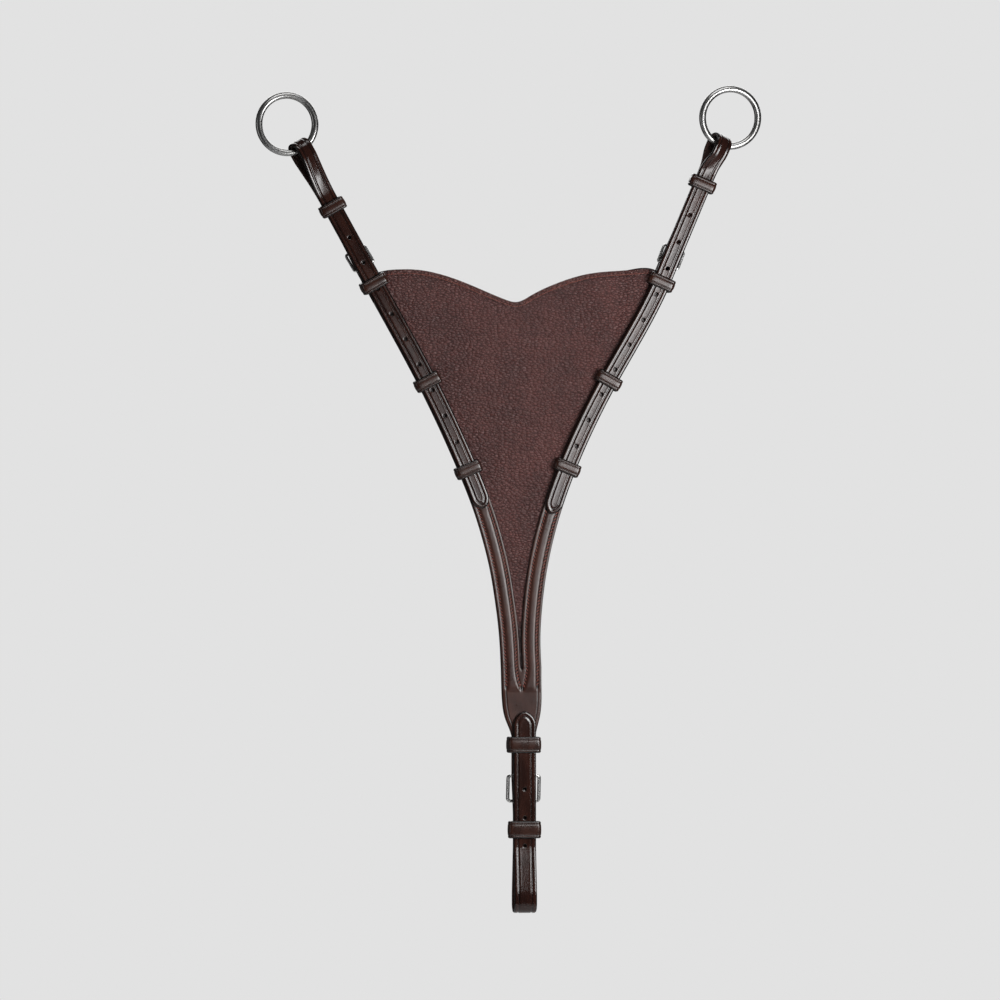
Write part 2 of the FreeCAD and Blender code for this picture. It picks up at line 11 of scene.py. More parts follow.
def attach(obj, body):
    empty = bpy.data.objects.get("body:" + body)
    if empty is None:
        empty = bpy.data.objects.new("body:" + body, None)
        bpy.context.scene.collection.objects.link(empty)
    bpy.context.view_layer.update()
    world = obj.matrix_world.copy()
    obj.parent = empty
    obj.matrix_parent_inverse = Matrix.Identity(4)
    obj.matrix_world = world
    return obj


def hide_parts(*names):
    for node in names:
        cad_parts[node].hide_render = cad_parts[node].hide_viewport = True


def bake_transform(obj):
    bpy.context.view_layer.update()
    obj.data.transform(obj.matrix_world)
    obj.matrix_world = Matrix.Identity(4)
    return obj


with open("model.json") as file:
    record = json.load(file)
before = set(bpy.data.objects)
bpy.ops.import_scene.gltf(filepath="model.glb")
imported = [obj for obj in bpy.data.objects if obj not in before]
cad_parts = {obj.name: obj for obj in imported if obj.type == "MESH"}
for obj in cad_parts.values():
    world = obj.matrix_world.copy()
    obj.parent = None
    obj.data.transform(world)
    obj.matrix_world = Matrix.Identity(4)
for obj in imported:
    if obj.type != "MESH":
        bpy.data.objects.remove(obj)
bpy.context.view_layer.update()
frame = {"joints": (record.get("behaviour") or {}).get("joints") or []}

# Visual model of the bib martingale attachment. Lengths are in millimetres until a mesh is made,
# in the frame of the CAD model: +Z up, front towards -Y. Each strap, the fork and the bib are grids
# of points laid along the same routes as the CAD solids that they replace.

random.seed(7)

MM = 0.001
FRONT = np.array([0.0, -1.0, 0.0])
BACK = np.array([0.0, 1.0, 0.0])
joints = {joint["name"]: joint for joint in frame["joints"]}

# Leather thicknesses and the depths of the layers, as in the CAD model.
STRAP = 2.8
FORK_PLY = 2.0
RUN_DEPTH = 1.55
FORK_FRONT_Y = 0.15
BIB_FRONT_Y = 2.15
BIB_LINING_Y = 3.35
FORK_LINING_Y = 3.95
FORK_LINING_BACK = 5.15
FOLD = 7.2          # from a strap's middle plane to its leather's middle, in the fold round the ring
RING_RADIUS = 25.0
WIRE = 3.0
ROOM = 0.3          # clearance between leather and a buckle's bars
RUN_OFFSET = 0.1    # how far behind the heel bar's middle the rear run passes the tip bar
TAIL = 32.0
TURNED_END = 28.0
ARM_HALF = 8.4
HOLE = 1.5
HOLE_PITCH = 25.0
STITCH_PITCH = 2.9
RIM_PITCH = 2.4
SLOT_HALF, SLOT_REACH = 2.1, 4.6    # the slot in a turned end, where the tongue's eye sits
KEEPER_WALL, KEEPER_SIDE = 1.8, 2.3     # thickness of a keeper's front and back, and of its sides
SIDE_KEEPER, NECK_KEEPER = 11.0, 14.0   # lengths of the fixed keepers
FLARE_GAP = 7.5     # a strap's two runs start to part this far past the sliding keeper
FOLD_LEAD = 8.0     # and are fully apart this far before the fold
BOTTOM_BILLET = 56.9
PIN_BACK = 6.5      # the tongue's hole lies this far before the tip bar
PIN_REACH = 5.9     # half the length of that hole
STITCH_INSET = 3.7  # of the inner rows and the neck's rows from the leather's edge

KINDS = {
    "side": dict(width=15.6, bar=2.4, frame_width=18.9, frame_length=16.2, turn=15.0, pin=1.0, slot=1.9,
                 crease=3.8, keeper_inner=17.6, keeper_length=11.0, point=10.5),
    "bottom": dict(width=20.0, bar=3.0, frame_width=27.4, frame_length=22.2, turn=19.6, pin=1.2, slot=1.45,
                   crease=4.2, keeper_inner=22.6, keeper_length=15.0, point=12.0),
}
# Places along each strap from its heel bar: the fold, the sliding keeper and the front run's holes.
STRAPS = {
    "left": dict(fold_at=116.0, runner_at=58.6, twist=23.0,
                 holes=[-28.4, -3.5] + [22.4 + HOLE_PITCH * n for n in range(7)]),
    "right": dict(fold_at=115.0, runner_at=77.0, twist=25.0,
                  holes=[-47.6, -22.0, 3.2] + [27.8 + HOLE_PITCH * n for n in range(7)]),
    "bottom": dict(fold_at=110.8, runner_at=47.0, twist=0.0, holes=[-61.0, -36.7, -11.7]),
}
ARM_ROUTES = {
    "left": [(-140.3, 553.7), (-132.2, 539.1), (-85.3, 453.8), (-49.2, 376.8), (-35.7, 342.4),
             (-27.1, 314.2), (-21.8, 292.4), (-17.5, 267.2), (-13.5, 235.0), (-11.8, 204.6)],
    "right": [(127.1, 555.4), (120.8, 540.5), (74.0, 454.7), (37.4, 378.6), (23.0, 338.0),
              (16.0, 311.6), (10.9, 285.5), (7.2, 255.0), (5.9, 228.9), (6.8, 204.4)],
}
KEEPER_POINTS = {"upper": 1, "middle": 2, "lower": 3}
KEEPER_BACKS = {"upper": 10.4, "middle": 5.3, "lower": 5.3}
TIP_POINT = 4
NECK = {
    "left": [(-20.2, 204.6), (-19.8, 190.0), (-18.9, 173.2), (-16.6, 161.1),
             (-12.2, 150.0), (-10.2, 142.0), (-9.8, 132.0), (-9.8, 110.8)],
    "right": [(15.2, 204.4), (15.2, 190.0), (15.0, 170.0), (13.0, 158.4),
              (10.6, 148.5), (10.0, 140.0), (9.8, 132.0), (9.8, 110.8)],
}
NECK_MIDDLE = [(-2.5, 204.5), (-2.3, 190.0), (-1.8, 172.0), (-0.8, 156.0), (0.0, 142.0), (0.0, 110.8)]
NECK_KEEPER_Z = 137.6
NECK_ROWS_TOP, NECK_STITCH_TOP = 203.6, 202.5   # where the neck's rows and stitches give way to the arms'
STITCH_APEX = (-2.2, 185.4)
TOP_EDGE = [(-136.0, 546.0), (-126.6, 549.1), (-98.0, 550.6), (-68.0, 544.9), (-38.0, 533.4),
            (-16.3, 524.5), (-6.8, 522.4), (6.0, 527.9), (30.9, 539.5), (57.0, 547.1), (86.0, 550.0),
            (113.5, 552.1), (122.0, 548.0)]
BINDING_ENDS = [(-120.5, 549.8), (110.0, 551.8)]
BIB_SHADOW, SHADOW_FADE = 252.0, 22.0   # below this height the bib lies in the slit and darkens
BIB_DROP = 3.5      # the foot of the bib runs this far past the slit's end


# ---- curves ---------------------------------------------------------------------------------

def smooth(points):
    """Natural cubic curve through plan points, sampled about every millimetre."""
    p = np.array(points, float)
    t = np.concatenate([[0], np.cumsum(np.linalg.norm(np.diff(p, axis=0), axis=1))])
    n = len(p)
    h = np.diff(t)
    a = np.zeros((n, n))
    b = np.zeros((n, p.shape[1]))
    a[0, 0] = a[-1, -1] = 1
    for i in range(1, n - 1):
        a[i, i - 1], a[i, i], a[i, i + 1] = h[i - 1], 2 * (h[i - 1] + h[i]), h[i]
        b[i] = 6 * ((p[i + 1] - p[i]) / h[i] - (p[i] - p[i - 1]) / h[i - 1])
    m = np.linalg.solve(a, b)
    at = np.linspace(0, t[-1], max(8, int(t[-1])))
    k = np.clip(np.searchsorted(t, at, side="right") - 1, 0, n - 2)
    x0, x1, hk = at - t[k], t[k + 1] - at, h[k]
    out = (m[k] * (x1 ** 3)[:, None] + m[k + 1] * (x0 ** 3)[:, None]) / (6 * hk[:, None])
    out += (p[k] / hk[:, None] - m[k] * hk[:, None] / 6) * x1[:, None]
    out += (p[k + 1] / hk[:, None] - m[k + 1] * hk[:, None] / 6) * x0[:, None]
    return out


class Line:
    """A sampled line that can be read at any distance along it."""

    def __init__(self, points):
        points = np.array(points, float)
        gaps = np.linalg.norm(np.diff(points, axis=0), axis=1)
        self.points = points[np.concatenate([[True], gaps > 1e-6])]
        gaps = np.linalg.norm(np.diff(self.points, axis=0), axis=1)
        self.at_points = np.concatenate([[0], np.cumsum(gaps)])
        self.length = self.at_points[-1]

    def at(self, s):
        s = np.asarray(s, float)
        return np.stack([np.interp(s, self.at_points, column) for column in self.points.T], -1)

    def tangent(self, s, reach):
        s = np.clip(np.asarray(s, float), reach / 2, self.length - reach / 2)
        d = self.at(s + reach) - self.at(s - reach)
        return d / np.linalg.norm(d, axis=-1, keepdims=True)

    def nearest(self, point):
        """Distance along the line of its sample nearest to a point."""
        return self.at_points[np.argmin(np.linalg.norm(self.points - np.array(point), axis=1))]


def filleted(points, radii):
    """Polyline whose inner corners are rounded to the radii, with no gap over about 2 mm."""
    p = np.array(points, float)
    out = [p[0]]
    for i, radius in enumerate(radii, start=1):
        a, b, c = p[i - 1], p[i], p[i + 1]
        u, v = (b - a) / np.linalg.norm(b - a), (c - b) / np.linalg.norm(c - b)
        angle = math.acos(max(-1, min(1, float(u @ v))))
        begin = b - u * (radius * math.tan(angle / 2))
        side = v - u * (u @ v)
        side /= np.linalg.norm(side)
        centre = begin + side * radius
        count = max(3, int(radius * angle / 0.6))
        for k in range(count + 1):
            turn = angle * k / count
            out.append(centre - side * radius * math.cos(turn) + u * radius * math.sin(turn))
    out.append(p[-1])
    dense = [out[0]]
    for a, b in zip(out, out[1:]):
        n = max(1, int(np.linalg.norm(b - a) / 2.0))
        dense += [a + (b - a) * k / n for k in range(1, n + 1)]
    return dense


def plan(point, y):
    return np.array([point[0], y, point[1]])


def heel(side):
    return np.array(joints[f"{side}_strap_flex"]["pos_m"]) * 1000


def across(side):
    return np.array(joints[f"{side}_strap_flex"]["axis"], float)


def upward(side):
    """Direction of a strap from its heel bar towards its fold."""
    v = across(side)
    return np.array([-v[2], 0.0, v[0]])


def kind_of(side):
    return KINDS["bottom" if side == "bottom" else "side"]


def tip_place(kind):
    """Where a buckle's tip bar lies: behind its heel bar, and along the strap."""
    depth = RUN_OFFSET + STRAP / 2 + ROOM + kind["bar"] / 2
    return depth, math.sqrt(kind["frame_length"] ** 2 - depth ** 2)


def unit(v):
    return np.asarray(v) / np.linalg.norm(v)


def sideways(t):
    """Plan direction at a right angle to a plan direction."""
    return np.array([-t[1], t[0]])


def ease(t):
    t = np.clip(t, 0, 1)
    return t * t * (3 - 2 * t)


def bell(x, middle, width):
    """Rounded bump of height 1."""
    return np.exp(-((x - middle) / width) ** 2)


arm = {side: Line(smooth(route)) for side, route in ARM_ROUTES.items()}


# ---- meshes ---------------------------------------------------------------------------------

class Builder:
    """Collects vertices, faces and their attributes for one piece.
    flat is a point's place on the flat leather, which the grain follows; rim darkens the colour: painted shade
    on rounded edges, pressed creases, stitch grooves, hole lips and the bib in the slit, and a darker top row
    of the bib and lower edge of the binding."""

    def __init__(self):
        self.points, self.flat, self.rim, self.faces, self.kinds = [], [], [], [], []

    def add(self, point, flat=(0, 0, 0), rim=0.0):
        self.points.append(point)
        self.flat.append(flat)
        self.rim.append(rim)
        return len(self.points) - 1

    def face(self, corners, kind=0):
        corners = list(dict.fromkeys(map(int, corners)))
        if len(corners) > 2:
            self.faces.append(corners)
            self.kinds.append(kind)

    def wall(self, first, second, kind, flip=False):
        """Faces between two rows of points."""
        for k in range(len(first) - 1):
            quad = [first[k], first[k + 1], second[k + 1], second[k]]
            self.face(quad[::-1] if flip else quad, kind)

    def cell(self, grid, i, j, kind, flip=False):
        """Face between lines i and i + 1 and columns j and j + 1 of a grid of points."""
        a, b, c, d = grid[i][j], grid[i][j + 1], grid[i + 1][j + 1], grid[i + 1][j]
        self.face([a, d, c, b] if flip else [a, b, c, d], kind)

    def closed(self, grid):
        """Faces of a grid that closes on itself both ways."""
        grid = [row + row[:1] for row in grid + grid[:1]]
        for i in range(len(grid) - 1):
            for j in range(len(grid[0]) - 1):
                self.cell(grid, i, j, 0, True)

    def make(self, name, materials, nodes=(), body=None, weld=True):
        """Smooth shaded mesh object, which takes the place of CAD nodes and rides on a body."""
        mesh = bpy.data.meshes.new(name)
        mesh.from_pydata((np.asarray(self.points, float) * MM).tolist(), [], self.faces)
        for material in materials:
            mesh.materials.append(material)
        mesh.polygons.foreach_set("material_index", np.asarray(self.kinds, np.int32))
        mesh.polygons.foreach_set("use_smooth", np.ones(len(mesh.polygons), bool))
        where = mesh.attributes.new("flat", "FLOAT_VECTOR", "POINT")
        where.data.foreach_set("vector", (np.asarray(self.flat, float) * MM).astype(np.float32).ravel())
        edge = mesh.attributes.new("rim", "FLOAT", "POINT")
        edge.data.foreach_set("value", np.asarray(self.rim, np.float32))
        mesh.validate()
        obj = bpy.data.objects.new(name, mesh)
        bpy.context.scene.collection.objects.link(obj)
        if weld:
            bm = bmesh.new()
            bm.from_mesh(mesh)
            bmesh.ops.remove_doubles(bm, verts=bm.verts, dist=1e-6)
            bmesh.ops.recalc_face_normals(bm, faces=bm.faces)
            bm.to_mesh(mesh)
            bm.free()
        if nodes:
            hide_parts(*nodes)
        if body:
            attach(obj, body)
        return obj


def tube(b, centres, radii, sides, kind=0):
    """Round bar along a line, with flat ends."""
    centres = np.array(centres, float)
    tangents = np.gradient(centres, axis=0)
    tangents /= np.linalg.norm(tangents, axis=1)[:, None]
    helper = BACK if abs(tangents[0][1]) < 0.9 else np.array([1.0, 0.0, 0.0])
    rings = []
    along = 0.0
    for i, (centre, tangent) in enumerate(zip(centres, tangents)):
        x = unit(helper - tangent * (helper @ tangent))
        y = np.cross(tangent, x)
        helper = x
        if i:
            along += np.linalg.norm(centre - centres[i - 1])
        turns = [2 * math.pi * k / sides for k in range(sides)]
        rings.append([b.add(centre + radii[i] * (x * math.cos(a) + y * math.sin(a)), (along, radii[i] * a, 0))
                      for a in turns])
    for first, second in zip(rings, rings[1:]):
        b.wall(first + first[:1], second + second[:1], kind)
    b.face(rings[0][::-1], kind)
    b.face(rings[-1], kind)


def capsule(b, a, c, radius, sides=8, kind=0):
    """Short thread stitch between two points, with round ends."""
    a, c = np.array(a, float), np.array(c, float)
    d = unit(c - a)
    steps = [(-0.95, 0.3), (-0.6, 0.8), (0.0, 1.0)]
    centres = [a + d * radius * s for s, _ in steps] + [c + d * radius * -s for s, _ in steps[::-1]]
    radii = [radius * r for _, r in steps] + [radius * r for _, r in steps[::-1]]
    tube(b, centres, radii, sides, kind)


# ---- materials ------------------------------------------------------------------------------

def linear(c):
    return ((c / 255 + 0.055) / 1.055) ** 2.4 if c > 10 else c / 255 / 12.92


def srgb(*levels):
    """Linear colour of a screen colour."""
    return tuple(linear(c) for c in levels) + (1.0,)


def shade(colour, share):
    return tuple(c * share for c in colour[:3]) + (1.0,)


class Nodes:
    """Small helper for building a material's nodes. Texture scales are per metre, bumps in metres."""

    def __init__(self, name):
        self.material = bpy.data.materials.new(name)
        self.material.use_nodes = True
        self.tree = self.material.node_tree
        self.surface = self.tree.nodes["Principled BSDF"]
        self.place = self.node("ShaderNodeAttribute", attribute_name="flat").outputs["Vector"]
        self.rim = self.node("ShaderNodeAttribute", attribute_name="rim").outputs["Fac"]

    def node(self, kind, values=None, **settings):
        made = self.tree.nodes.new(kind)
        for key, value in settings.items():
            setattr(made, key, value)
        self.feed(made, values or {})
        return made

    def feed(self, node, values):
        """Sets each named socket to a number or colour, or links it to another node's output."""
        for key, value in values.items():
            if isinstance(value, (int, float, tuple)):
                node.inputs[key].default_value = value
            else:
                self.tree.links.new(value, node.inputs[key])

    def stretched(self, stretch):
        if stretch is None:
            return self.place
        return self.node("ShaderNodeMapping", {"Scale": stretch, "Vector": self.place}).outputs["Vector"]

    def noise(self, scale, detail=3.0, roughness=0.5, stretch=None):
        values = {"Scale": scale, "Detail": detail, "Roughness": roughness, "Vector": self.stretched(stretch)}
        return self.node("ShaderNodeTexNoise", values).outputs["Fac"]

    def cells(self, scale, warp, feature="DISTANCE_TO_EDGE", stretch=None):
        """Cell pattern whose places are shifted by a noise of half its scale."""
        wobble = self.node("ShaderNodeTexNoise", {"Scale": scale * 0.5, "Vector": self.place}).outputs["Color"]
        values = {0: wobble, 1: (warp, warp, warp), 2: self.stretched(stretch)}
        shift = self.node("ShaderNodeVectorMath", values, operation="MULTIPLY_ADD").outputs["Vector"]
        made = self.node("ShaderNodeTexVoronoi", {"Scale": scale, "Vector": shift}, feature=feature)
        return made.outputs["Distance"]

    def ramp(self, value, low, high, a=0.0, b=1.0):
        values = {"From Min": low, "From Max": high, "To Min": a, "To Max": b, "Value": value}
        return self.node("ShaderNodeMapRange", values, interpolation_type="SMOOTHSTEP").outputs["Result"]

    def total(self, a, b):
        return self.node("ShaderNodeMath", {0: a, 1: b}, operation="ADD").outputs[0]

    def mix(self, share, a, b):
        made = self.node("ShaderNodeMix", data_type="RGBA", blend_type="MIX")
        places = {(s.name, s.type): index for index, s in enumerate(made.inputs)}
        self.feed(made, {places["Factor", "VALUE"]: share, places["A", "RGBA"]: a, places["B", "RGBA"]: b})
        return next(s for s in made.outputs if s.type == "RGBA")

    def bump(self, height, distance, strength=1.0, under=None):
        values = {"Distance": distance, "Strength": strength, "Height": height}
        if under is not None:
            values["Normal"] = under
        return self.node("ShaderNodeBump", values).outputs["Normal"]

    def finish(self, colour, roughness, normal=None, **fixed):
        values = {"Base Color": colour, "Roughness": roughness}
        if normal is not None:
            values["Normal"] = normal
        values.update({key.replace("_", " "): value for key, value in fixed.items()})
        self.feed(self.surface, values)
        return self.material


def bridle_leather(name, deep, warm, gloss, shine=0.5):
    """Smooth finished leather: mottled dye, fine pores, long faint stretch lines, and painted shade, near
    black, where the rim attribute marks edges, creases and grooves.
    """
    n = Nodes(name)
    cloud = n.noise(38, 4, 0.6, (1, 1.6, 1))
    fleck = n.noise(420, 3, 0.65)
    fibre = n.noise(900, 2, 0.5, (0.12, 1, 1))
    colour = n.mix(n.ramp(cloud, 0.35, 0.68), deep, warm)
    colour = n.mix(n.ramp(fleck, 0.52, 0.75, 0.0, 0.25), colour, shade(deep, 0.45))
    # painted shade: near black where rim marks rounded edges, pressed creases and stitch grooves
    colour = n.mix(n.ramp(n.rim, 0.1, 0.8, 0.0, 0.96), colour, srgb(9, 5, 4))
    roughness = n.total(n.ramp(cloud, 0.3, 0.75, gloss, gloss + 0.04), n.ramp(fleck, 0.4, 0.8, 0.0, 0.02))
    pores = n.bump(n.ramp(n.cells(1500, 0.0004), 0.0, 0.22), 0.00003, 0.2)
    lines = n.bump(fibre, 0.00003, 0.2, pores)
    normal = n.bump(n.noise(90, 2, 0.4), 0.0001, 0.3, lines)
    return n.finish(colour, roughness, normal, Specular_IOR_Level=shine)


def painted_edge(name):
    """Burnished cut edge, inked nearly black."""
    n = Nodes(name)
    streak = n.noise(700, 3, 0.6, (0.2, 1, 1))
    colour = n.mix(n.ramp(streak, 0.35, 0.7), srgb(8, 5, 5), srgb(22, 13, 11))
    normal = n.bump(streak, 0.00008, 0.6)
    return n.finish(colour, n.ramp(streak, 0.3, 0.8, 0.32, 0.5), normal, Specular_IOR_Level=0.5)


def flesh_side(name, deep, pale):
    """Rough inner face of the leather: matt, short fibres."""
    n = Nodes(name)
    nap = n.noise(1300, 4, 0.7)
    colour = n.mix(n.ramp(n.noise(60, 4, 0.6), 0.3, 0.7), deep, pale)
    colour = n.mix(n.ramp(nap, 0.45, 0.7, 0.0, 0.5), colour, shade(deep, 0.6))
    normal = n.bump(nap, 0.00016, 0.8)
    return n.finish(colour, n.ramp(nap, 0.3, 0.7, 0.72, 0.9), normal, Specular_IOR_Level=0.3,
                    Sheen_Weight=0.15, Sheen_Roughness=0.5)


def pebbled_leather(name, deep, warm):
    """Milled leather: rounded pebbles with painted shade in the creases between them, over fine pores."""
    n = Nodes(name)
    stretch = (0.72, 1.0, 1.2)
    pebbles = n.cells(440, 0.0018, "SMOOTH_F1", stretch)
    creases = n.ramp(n.cells(440, 0.0018, stretch=stretch), 0.0, 0.16)
    pores = n.ramp(n.cells(1000, 0.0007), 0.0, 0.2)
    cloud = n.noise(22, 4, 0.6)
    blotch = n.noise(150, 3, 0.6)
    colour = n.mix(n.ramp(cloud, 0.32, 0.7), deep, warm)
    colour = n.mix(n.ramp(blotch, 0.45, 0.75, 0.0, 0.4), colour, shade(deep, 0.62))
    # painted shade in the creases between the pebbles
    colour = n.mix(n.ramp(creases, 0.0, 1.0, 0.55, 0.0), colour, srgb(26, 12, 12))
    # rim darkens the bib where it lies in the slit (painted shade), and its top row and the binding's lower
    # edge
    colour = n.mix(n.ramp(n.rim, 0.0, 1.0, 0.0, 0.8), colour, srgb(18, 10, 10))
    under = n.bump(pores, 0.00008, 0.6)
    under = n.bump(creases, 0.0005, 1.0, under)
    under = n.bump(n.ramp(pebbles, 0.0, 0.9, 1.0, 0.0), 0.001, 1.0, under)
    normal = n.bump(blotch, 0.0007, 0.4, under)
    roughness = n.total(n.ramp(creases, 0.0, 1.0, 0.66, 0.42), n.ramp(cloud, 0.3, 0.7, 0.0, 0.08))
    return n.finish(colour, roughness, normal, Specular_IOR_Level=0.5)


def steel(name, tone, gloss):
    """Polished stainless steel, a little clouded by handling."""
    n = Nodes(name)
    cloud = n.noise(90, 3, 0.5)
    clouded = (tone * 0.86, tone * 0.85, tone * 0.83, 1.0)
    colour = n.mix(n.ramp(cloud, 0.3, 0.7), clouded, (tone, tone, tone, 1.0))
    return n.finish(colour, n.ramp(cloud, 0.3, 0.75, gloss, gloss + 0.08), Metallic=1.0)


def thread(name, colour):
    """Waxed linen thread, twisted."""
    n = Nodes(name)
    values = {"Scale": 700, "Distortion": 0.6, "Vector": n.place}
    wave = n.node("ShaderNodeTexWave", values, wave_type="BANDS", bands_direction="DIAGONAL").outputs["Fac"]
    dark = shade(colour, 0.45)
    # darker bands in the twist's grooves: painted shade
    mixed = n.mix(n.ramp(wave, 0.2, 0.8), dark, colour)
    mixed = n.mix(n.ramp(n.noise(300, 2), 0.4, 0.7, 0.0, 0.5), mixed, dark)
    normal = n.bump(wave, 0.00012, 0.8)
    return n.finish(mixed, 0.5, normal, Sheen_Weight=0.2)


strap_leather = bridle_leather("strap_leather_dark", srgb(33, 16, 12), srgb(50, 25, 18), gloss=0.14)
fork_leather = bridle_leather("fork_leather_dark", srgb(46, 26, 21), srgb(63, 37, 30), gloss=0.27, shine=0.38)
keeper_leather = bridle_leather("keeper_leather_dark", srgb(38, 21, 16), srgb(56, 31, 23), gloss=0.21)
edge_ink = painted_edge("edge_ink")
flesh = flesh_side("strap_flesh", srgb(46, 28, 23), srgb(66, 42, 35))
lining = flesh_side("lining_suede", srgb(52, 32, 28), srgb(70, 45, 39))
bib_leather = pebbled_leather("bib_pebbled", srgb(74, 38, 35), srgb(92, 50, 46))
binding_leather = pebbled_leather("binding_leather", srgb(76, 38, 34), srgb(92, 49, 44))
polished = steel("polished_steel", 0.36, 0.28)
buckle_steel = steel("buckle_steel", 0.6, 0.24)
thread_red = thread("thread_red_brown", srgb(132, 62, 46))


# ---- straps ---------------------------------------------------------------------------------

# The grid has an oblong patch round each hole: its half width, and how far it reaches past the hole.
PATCH_HALF, PATCH_MARGIN = 2.7, 1.2
# Rings of points down a punched hole: its size as a share, face (1 front, -1 back), height over it, rim
# (painted shade darkening the lip into the hole).
HOLE_RINGS = [(1.45, 1, 0.0, 0.1), (1.12, 1, -0.1, 0.7), (1.0, 1, -0.35, 1.0),
              (0.96, -1, 0.3, 1.0), (1.15, -1, 0.0, 1.0)]


def strap_section(half, crease):
    """Distances across a strap, from its middle, where the grid has a line: fine at the edge and crease."""
    near_edge = [0.0, 0.12, 0.35, 0.7, 1.1, 1.6, 2.2]
    near_edge += [crease + d for d in (-1.2, -0.8, -0.4, 0.0, 0.4, 0.8, 1.2, 1.6, 2.1)]
    wanted = sorted([half - d for d in near_edge] + [0.75, 1.7, PATCH_HALF])
    filled = [wanted[0]]
    for value in wanted[1:]:
        gap = value - filled[-1]
        if gap < 0.12:
            continue
        parts = int(gap / 1.3) + 1
        for _ in range(1, parts):
            filled.append(filled[-1] + gap / parts)
        filled.append(value)
    return np.array([-v for v in filled[::-1]] + filled)


def strap_rows(length, holes, point):
    """Distances along a strap where the grid has a line, with six lines round each hole."""
    steps = (-1.0, -0.63, -0.28, 0.28, 0.63, 1.0)
    fixed = {at + f * (reach + PATCH_MARGIN) for at, reach, _ in holes for f in steps}
    spans = sorted((at - reach - PATCH_MARGIN, at + reach + PATCH_MARGIN) for at, reach, _ in holes)
    rows = [s for s in fixed if 0 < s < length]
    s = 0.0
    while s < length - point:
        if not any(lo - 0.5 < s < hi + 0.5 for lo, hi in spans):
            rows.append(s)
        s += 2.0
    point_rows = [length - point * (1 - t) ** 1.8 for t in np.linspace(0, 1, 22)]
    return np.array(sorted(rows + [min(r, length - 0.02) for r in point_rows]))


def rounding(d, across, down):
    """How far a rounded edge has dropped at a distance from it."""
    return down * (1 - np.sqrt(np.maximum(1 - (1 - np.minimum(d, across) / across) ** 2, 0)))


def grain_profile(d, crease):
    """Height of the finished face at a distance from the edge: rounded bead, pressed valley, low ridge."""
    valley = -0.42 * bell(d, crease, 0.8)
    ridge = 0.1 * np.exp(-((d - crease - 1.35) / 0.55) ** 2)
    return valley + ridge - rounding(d, 1.9, 1.05)


def pointed(share):
    """Half width of a strap's rounded point, as a share, at a share of the point's length from its tip."""
    return (1 - (1 - share) ** 1.9) ** 0.62


def strap_line(side):
    """A strap's middle line, how far along it the front run begins, and its holes.
    Each hole is (place, half length, half width)."""
    kind, sizes = kind_of(side), STRAPS[side]
    h, u = heel(side), upward(side)
    tip_along = tip_place(kind)[1]
    turn_inner = kind["bar"] / 2 + ROOM
    tail_y = h[1] + turn_inner + FORK_PLY + ROOM + STRAP / 2
    run_y = h[1] + RUN_OFFSET
    flare = sizes["runner_at"] + kind["keeper_length"] / 2 + FLARE_GAP
    fold_at = sizes["fold_at"]
    # corners as (depth, distance from the heel bar)
    route = filleted(
        [(tail_y, -TAIL), (tail_y, 3.0), (run_y, tip_along), (RUN_DEPTH, tip_along + 12), (RUN_DEPTH, flare),
         (FOLD, fold_at - FOLD_LEAD), (FOLD, fold_at + FOLD), (-FOLD, fold_at + FOLD),
         (-FOLD, fold_at - FOLD_LEAD), (-RUN_DEPTH, flare), (-RUN_DEPTH, 0.0)],
        [7.0, 6.0, 15.0, 30.0, 25.0, FOLD - 0.01, FOLD - 0.01, 25.0, 30.0],
    )
    spine = [h * [1, 0, 1] + u * along + np.array([0, y, 0]) for y, along in route]
    turn_at = Line(spine).length
    if side == "bottom":
        billet = [(0.0, h[2] + d) for d in np.arange(1.0, BOTTOM_BILLET, 1.0)]
    else:
        reach = arm[side].nearest(ARM_ROUTES[side][TIP_POINT])
        billet = [arm[side].at(d) for d in np.arange(1.0, reach, 1.0)]
    holes = [(turn_at + q, HOLE, HOLE) for q in sizes["holes"]]
    # the tongue's own hole is a slot, with two spare holes beyond it
    pin_at = TAIL + tip_along - PIN_BACK
    holes += [(pin_at, PIN_REACH, kind["slot"])] + [(pin_at + HOLE_PITCH * n, HOLE, HOLE) for n in (1, 2)]
    return Line(spine + [plan(p, -RUN_DEPTH) for p in billet]), turn_at, holes


